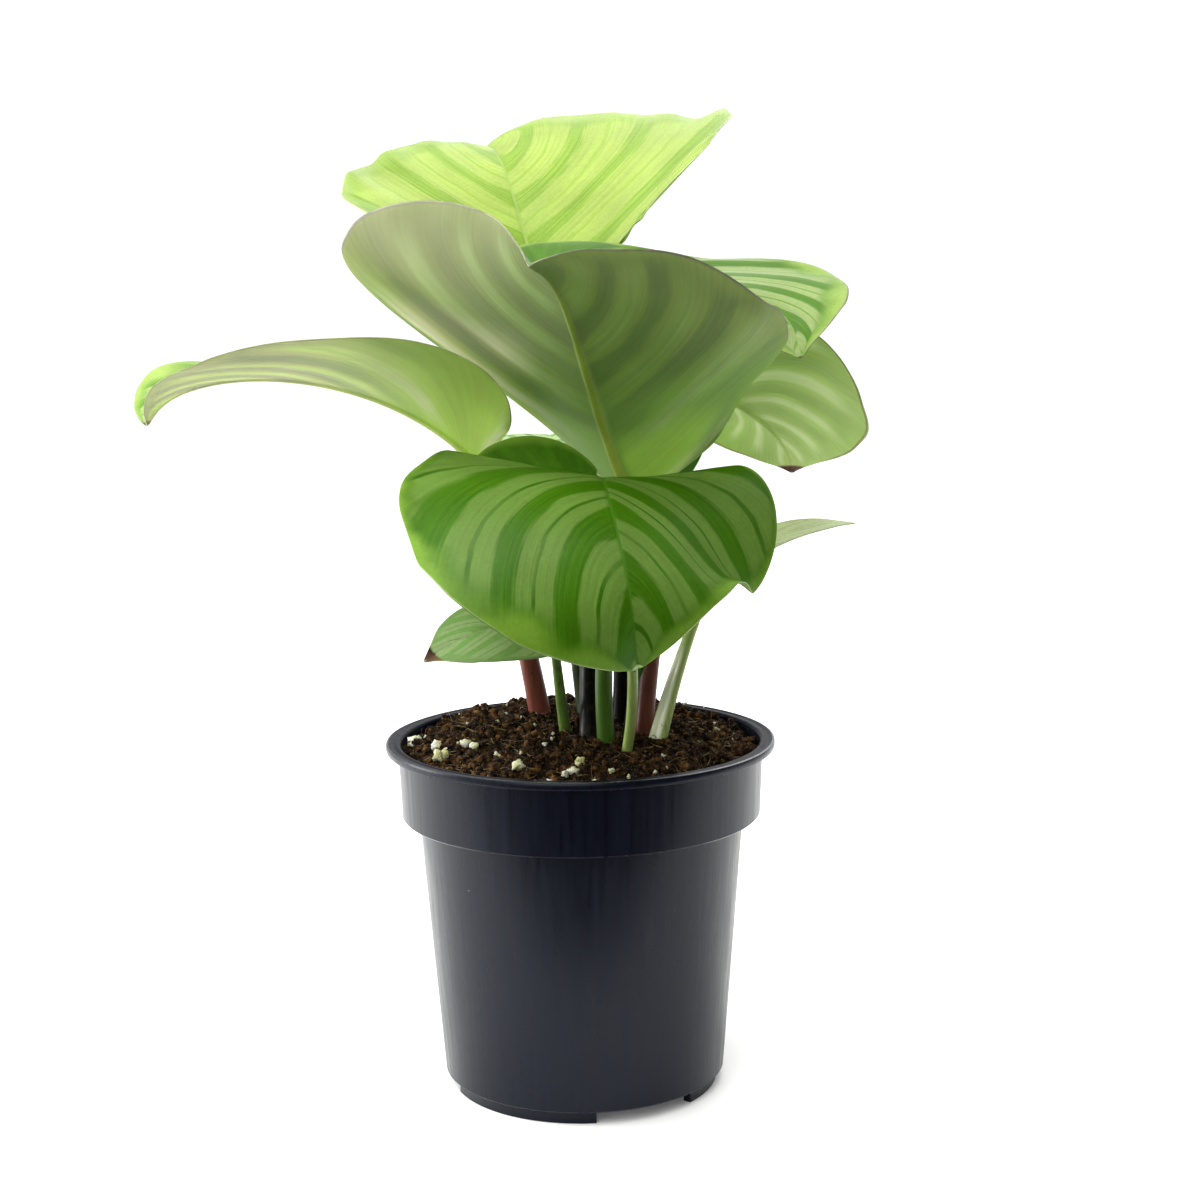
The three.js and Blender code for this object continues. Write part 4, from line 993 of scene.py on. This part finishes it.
def peat(name, light):
    # Sphagnum peat, moist: matt, red-brown to tan on the dry crumbs. The colour ramp follows the crumb
    # noise that also drives the bump, so the low gaps are nearly black: moist dark peat, and painted
    # shade in the gaps.
    material, shader = newMaterial(name, IOR=1.35, Roughness=0.92, Specular_IOR_Level=0.12)
    add = partial(addNode, material)
    place = add("TexCoord").node.outputs["Object"]
    patch = add("TexNoise", {"Vector": place, "Scale": 55, "Detail": 3})
    crumb = add("TexNoise", {"Vector": place, "Scale": 420, "Detail": 3})  # 2 mm crumbs
    dust = add("TexNoise", {"Vector": place, "Scale": 1700, "Detail": 3})
    # Painted shade: the ramp's low end, where the bump sinks between crumbs, is nearly black.
    ramp = add("ValToRGB", {0: crumb})
    stops = ramp.node.color_ramp.elements
    stops[0].position, stops[0].color = 0.34, linear("0b0704")
    stops[1].position, stops[1].color = 0.7, linear("6e502c")
    for at, hexText in ((0.46, "1a110a"), (0.58, "402a17")):
        stops.new(at).color = linear(hexText)
    damp = add("MapRange", {0: patch, 1: 0.4, 2: 0.62, 3: 0.0, 4: 0.7})
    colour = add("Mix", {0: damp, 6: ramp, 7: "120b06"}, data_type="RGBA")
    speck = add("MapRange", {0: dust, 1: 0.62, 2: 0.72, 3: 0, 4: 0.55})
    colour = add("Mix", {0: speck, 6: colour, 7: "8f7a50"}, data_type="RGBA")
    # light scales the whole colour, so lighter copies of the peat carry painted light.
    colour = add("VectorMath", {0: colour, 3: light}, operation="SCALE")
    link(material, colour, shader, "Base Color")
    relief = add("Math", {0: dust, 1: 0.5, 2: crumb}, operation="MULTIPLY_ADD")
    bump = add("Bump", {"Strength": 0.9, "Distance": 0.001, "Height": relief})
    link(material, bump, shader, "Normal")
    return material


def copiesOf(model, places, name):  # copies the model to each place, each with its own mesh
    made = []
    for spot, scale, turn in places:
        copy = model.copy()
        copy.data = model.data.copy()
        bpy.context.collection.objects.link(copy)
        copy.location, copy.scale, copy.rotation_euler = spot, scale, turn
        made.append(copy)
    deselectAll()
    for copy in made:
        copy.select_set(True)
    bpy.context.view_layer.objects.active = made[0]
    bpy.ops.object.transform_apply(location=True, rotation=True, scale=True)
    bpy.data.objects.remove(model)
    return joinPieces(made, name)


def crumbModel(cuts, rough, seed):
    deselectAll()
    bpy.ops.mesh.primitive_cube_add(size=1)
    crumb = bpy.context.object
    bpy.ops.object.mode_set(mode="EDIT")
    bpy.ops.mesh.select_all(action="SELECT")
    bpy.ops.mesh.subdivide(number_cuts=cuts)
    bpy.ops.transform.tosphere(value=0.8)
    bpy.ops.object.mode_set(mode="OBJECT")
    for vertex in crumb.data.vertices:
        vertex.co += vertex.co.normalized() * rough * noise.noise(vertex.co * 2.3 + Vector((seed, 0, 0)))
    bpy.ops.object.shade_smooth()
    return crumb


def stalkFeet():
    return [(leaf["stalk"][0][0], leaf["stalk"][0][1], leaf["r"][0]) for leaf in leaves.values()]


def scatterCrumbs():
    make = soilMake
    rng = Random(make["seed"])
    feet = stalkFeet()
    batches = []
    for kind in range(make["crumbKinds"]):
        places = []
        while len(places) < make["crumbs"] // make["crumbKinds"]:
            far = make["radius"] * 0.985 * math.sqrt(rng.random())
            turn = rng.uniform(0, 2 * math.pi)
            x, y = onRing(far, turn)
            size = make["crumbSize"][0] + make["crumbSize"][1] * rng.random() ** 3
            if any(math.hypot(x - fx, y - fy) < r + size * 0.4 for fx, fy, r in feet):
                continue
            if far + size * 0.5 > make["radius"]:
                continue
            z = soilSurface(x, y) + size * rng.uniform(-0.1, 0.3)
            scale = [size * rng.uniform(0.55, 1.2) / 1000 for _ in range(3)]
            scale[rng.randrange(2)] *= rng.uniform(1.0, 1.9)
            turns = [rng.uniform(0, make["spin"]) for _ in range(3)]
            places.append((toWorld((x, y, z)), scale, turns))
        batches.append(copiesOf(crumbModel(1, 0.5, kind * 3.1), places, "crumbs"))
    crumbs = joinPieces(batches, "peat_crumbs")
    # Painted light: the loose crumbs take a copy of the peat 1.3 times lighter than the soil under them.
    setMaterials(crumbs, [peat("peatCrumbs", 1.3)])
    return crumbs


def scatterPerlite():
    make = soilMake
    rng = Random(make["seed"] + 1)
    places = []
    spots = list(perliteSpots)
    while len(spots) < make["perlite"] + len(perliteSpots):
        far = make["radius"] * 0.95 * math.sqrt(rng.random())
        turn = rng.uniform(0, 2 * math.pi)
        spots.append((*onRing(far, turn), rng.uniform(0.7, 1.3)))
    for x, y, size in spots:
        for _ in range(3 if size > 2 else 1):
            dx, dy = rng.uniform(-0.4, 0.4) * size, rng.uniform(-0.4, 0.4) * size
            part = size * rng.uniform(0.6, 1.0)
            z = soilHeight(x + dx, y + dy) + part * 0.35 + 0.3
            scale = [part * rng.uniform(0.6, 1.2) / 1000 for _ in range(3)]
            turns = [rng.uniform(0, make["spin"]) for _ in range(3)]
            places.append((toWorld((x + dx, y + dy, z)), scale, turns))
    perlite = copiesOf(crumbModel(2, 0.35, 21.7), places, "perlite")
    setMaterials(perlite, [perliteSkin()])
    return perlite


def perliteSkin():
    # Perlite: white volcanic glass foam, here stained by the peat.
    material, shader = newMaterial("perlite", IOR=1.3, Roughness=0.85)
    add = partial(addNode, material)
    place = add("TexCoord").node.outputs["Object"]
    patch = add("TexNoise", {"Vector": place, "Scale": 160, "Detail": 2})
    pores = add("TexVoronoi", {"Vector": place, "Scale": 1800})
    stained = add("MapRange", {0: patch, 1: 0.4, 2: 0.65})
    base = add("Mix", {0: stained, 6: "e2e0d6", 7: "c2bf86"}, data_type="RGBA")
    # Painted shade: the colour darkens where the pores sink into the bump.
    holes = add("MapRange", {0: pores, 1: 0.1, 2: 0.5, 3: 0.75, 4: 1.0})
    colour = add("VectorMath", {0: base, 3: holes}, operation="SCALE")
    link(material, colour, shader, "Base Color")
    bump = add("Bump", {"Strength": 0.8, "Distance": 0.0005, "Height": pores})
    link(material, bump, shader, "Normal")
    return material


def fibreModel(sides, rings):  # a thin upright rod with rings to bend it at
    deselectAll()
    bpy.ops.mesh.primitive_cylinder_add(vertices=sides, radius=0.5, depth=1, end_fill_type="NGON")
    fibre = bpy.context.object
    bpy.ops.object.mode_set(mode="EDIT")
    bpy.ops.mesh.select_mode(type="EDGE")
    bpy.ops.mesh.select_all(action="DESELECT")
    bpy.ops.object.mode_set(mode="OBJECT")
    mesh = fibre.data
    for edge in mesh.edges:
        a, b = (mesh.vertices[i].co.z for i in edge.vertices)
        edge.select = abs(a - b) > 0.5
    bpy.ops.object.mode_set(mode="EDIT")
    bpy.ops.mesh.subdivide_edgering(number_cuts=rings, interpolation="LINEAR")
    bpy.ops.object.mode_set(mode="OBJECT")
    return fibre


def fibrePath(start, length, heading, swing, rise, curl):  # swing turns it sideways, curl bends it up
    steps = soilMake["fibreSteps"]
    path = [start]
    for i in range(steps):
        part = (i + 1) / steps
        lean = rise + curl * (part - 0.5)
        way = heading + swing * part
        flat = math.cos(lean)
        step = Vector((math.cos(way) * flat, math.sin(way) * flat, math.sin(lean)))
        path.append(path[-1] + step * length / steps)
    return path


def bendFibre(fibre, path, thick):  # lays the rod along the path, thinner towards its end
    steps = len(path) - 1
    for vertex in fibre.data.vertices:
        part = min(0.999, max(0, vertex.co.z + 0.5)) * steps
        at = int(part)
        along = (path[at + 1] - path[at]).normalized()
        level = Vector((0, 0, 1)) if abs(along.z) < 0.9 else Vector((1, 0, 0))
        side = along.cross(level).normalized()
        other = side.cross(along)
        centre = path[at].lerp(path[at + 1], part - at)
        thin = thick * (1 - 0.6 * part / steps)
        vertex.co = toWorld(centre + side * vertex.co.x * thin + other * vertex.co.y * thin)


def scatterFibres():  # flat fibres over the soil, then fine hairs that stand up near the wall
    make = soilMake
    rng = Random(make["seed"] + 2)
    model = fibreModel(4, 6)
    made = []
    for k in range(make["fibres"] + make["hairs"]):
        hair = k >= make["fibres"]
        far = make["radius"] * (rng.uniform(0.8, 0.97) if hair else 0.95 * math.sqrt(rng.random()))
        x, y = onRing(far, rng.uniform(0, 2 * math.pi))
        length = rng.uniform(*make["hairLength" if hair else "fibreLength"])
        thick = make["hairThick"] if hair else rng.uniform(*make["fibreThick"])
        heading = rng.uniform(0, 2 * math.pi)
        rise = rng.uniform(0.8, 1.3) if hair else rng.uniform(0.0, 0.35)
        curl = rng.uniform(-2, 2) * (0.6 if hair else 0.35)
        swing = rng.uniform(-2.4, 2.4)
        start = Vector((x, y, soilSurface(x, y) + (0.0 if hair else 0.35)))
        path = fibrePath(start, length, heading, swing, rise, curl)
        if not hair:
            path = [Vector((p.x, p.y, max(p.z, soilSurface(p.x, p.y) + 0.1))) for p in path]
        if any(math.hypot(p.x, p.y) > make["radius"] - 0.4 for p in path):
            continue
        fibre = model.copy()
        fibre.data = model.data.copy()
        bpy.context.collection.objects.link(fibre)
        bendFibre(fibre, path, thick)
        made.append(fibre)
    bpy.data.objects.remove(model)
    fibres = joinPieces(made, "peat_fibres")
    pickOnly(fibres)
    bpy.ops.object.mode_set(mode="EDIT")
    smoothOutside()
    setMaterials(fibres, [sedgeFibre()])
    return fibres


def sedgeFibre():
    # Peat fibres: dry sedge roots, straw to brown.
    material, shader = newMaterial("sedgeFibre", IOR=1.4, Roughness=0.7)
    add = partial(addNode, material)
    place = add("TexCoord").node.outputs["Object"]
    patch = add("TexNoise", {"Vector": place, "Scale": 130, "Detail": 1})
    part = add("MapRange", {0: patch, 1: 0.38, 2: 0.62})
    base = add("Mix", {0: part, 6: "1f140b", 7: "8d7648"}, data_type="RGBA")
    link(material, base, shader, "Base Color")
    return material


soil = makeSoil()
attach(soil, "root")
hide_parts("soil")
for piece in (scatterCrumbs(), scatterPerlite(), scatterFibres()):
    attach(piece, "root")
print("soil made")


# Floor, light and camera.
studio = {
    "floor": 12.0, "front": 0.17,  # the sheet ends in front of the pot, so the pot mirrors a dark room
    "bright": (-0.55, 0.7, 0.42),  # the light comes mostly from behind, the left and above
    "sky": 1.3, "room": 0.14, "backdrop": 1.15, "sheet": 0.07,
}
lights = {  # place, aim and size in metres, and watts
    "topLight": ((-0.25, -0.25, 1.5), (0, 0, 0.15), 1.1, 26.0),
    "backLight": ((0.3, 1.2, 1.0), (0, 0, 0.2), 0.9, 8.0),
    "frontLight": ((-0.3, -1.2, 1.0), (0, 0, 0.2), 1.2, 13.0),
    "leftLight": ((-1.3, 0.3, 0.5), (0, 0, 0.15), 0.7, 17.0),
}

deselectAll()
bpy.ops.mesh.primitive_plane_add(size=studio["floor"],
                                 location=(0, studio["floor"] / 2 - studio["front"], 0))
floor = bpy.context.object
floor.name = "floor"
paper, paperShader = newMaterial("whitePaper", Roughness=0.9, Emission_Strength=studio["sheet"])
paperShader.inputs["Base Color"].default_value = linear("fafaf8")
setMaterials(floor, [paper])

world = bpy.data.worlds.new("studio")
world.use_nodes = True
way = addNode(world, "TexCoord")
toSky = addNode(world, "VectorMath", {0: way, 1: studio["bright"]}, operation="DOT_PRODUCT")
glow = addNode(world, "MapRange", {0: toSky, 1: -0.7, 2: 0.45, 3: studio["room"], 4: studio["sky"]},
               **smooth)
straight = addNode(world, "LightPath")  # seen by the camera itself, the room is a white backdrop
seen = addNode(world, "Mix", {0: straight, 2: glow, 3: studio["backdrop"]})
background = world.node_tree.nodes["Background"]
background.inputs["Color"].default_value = (1, 1, 1, 1)
link(world, seen, background, "Strength")
bpy.context.scene.world = world
bpy.context.scene.view_settings.view_transform = "Standard"

for name, (spot, aim, size, power) in lights.items():
    deselectAll()
    bpy.ops.object.light_add(type="AREA", location=spot)
    light = bpy.context.object
    light.name = name
    light.data.size = size
    light.data.energy = power
    light.rotation_euler = (Vector(aim) - Vector(spot)).to_track_quat("-Z", "Y").to_euler()

view = {
    "away": 650, "height": 254.68, "yaw": 0.58, "pitch": 9.02, "roll": -0.71,
    "focal": 2149.6, "photo": 1200, "sensor": 36,  # focal length and photo width in pixels, sensor in mm
}
bpy.ops.object.camera_add(location=toWorld((0, -view["away"], view["height"])))
camera = bpy.context.object
camera.data.sensor_width = view["sensor"]
camera.data.lens = view["focal"] / view["photo"] * view["sensor"]
yaw, pitch, roll = (math.radians(view[key]) for key in ("yaw", "pitch", "roll"))
forward = Vector((math.sin(yaw) * math.cos(pitch), math.cos(yaw) * math.cos(pitch), -math.sin(pitch)))
right = Vector((math.cos(yaw), -math.sin(yaw), 0))
up = right.cross(forward)
rightRolled = right * math.cos(roll) + up * math.sin(roll)
upRolled = up * math.cos(roll) - right * math.sin(roll)
camera.rotation_euler = Matrix((rightRolled, upRolled, -forward)).transposed().to_euler()
camera.data.clip_start = 0.01
bpy.context.scene.camera = camera

deselectAll()
print("scene ready")
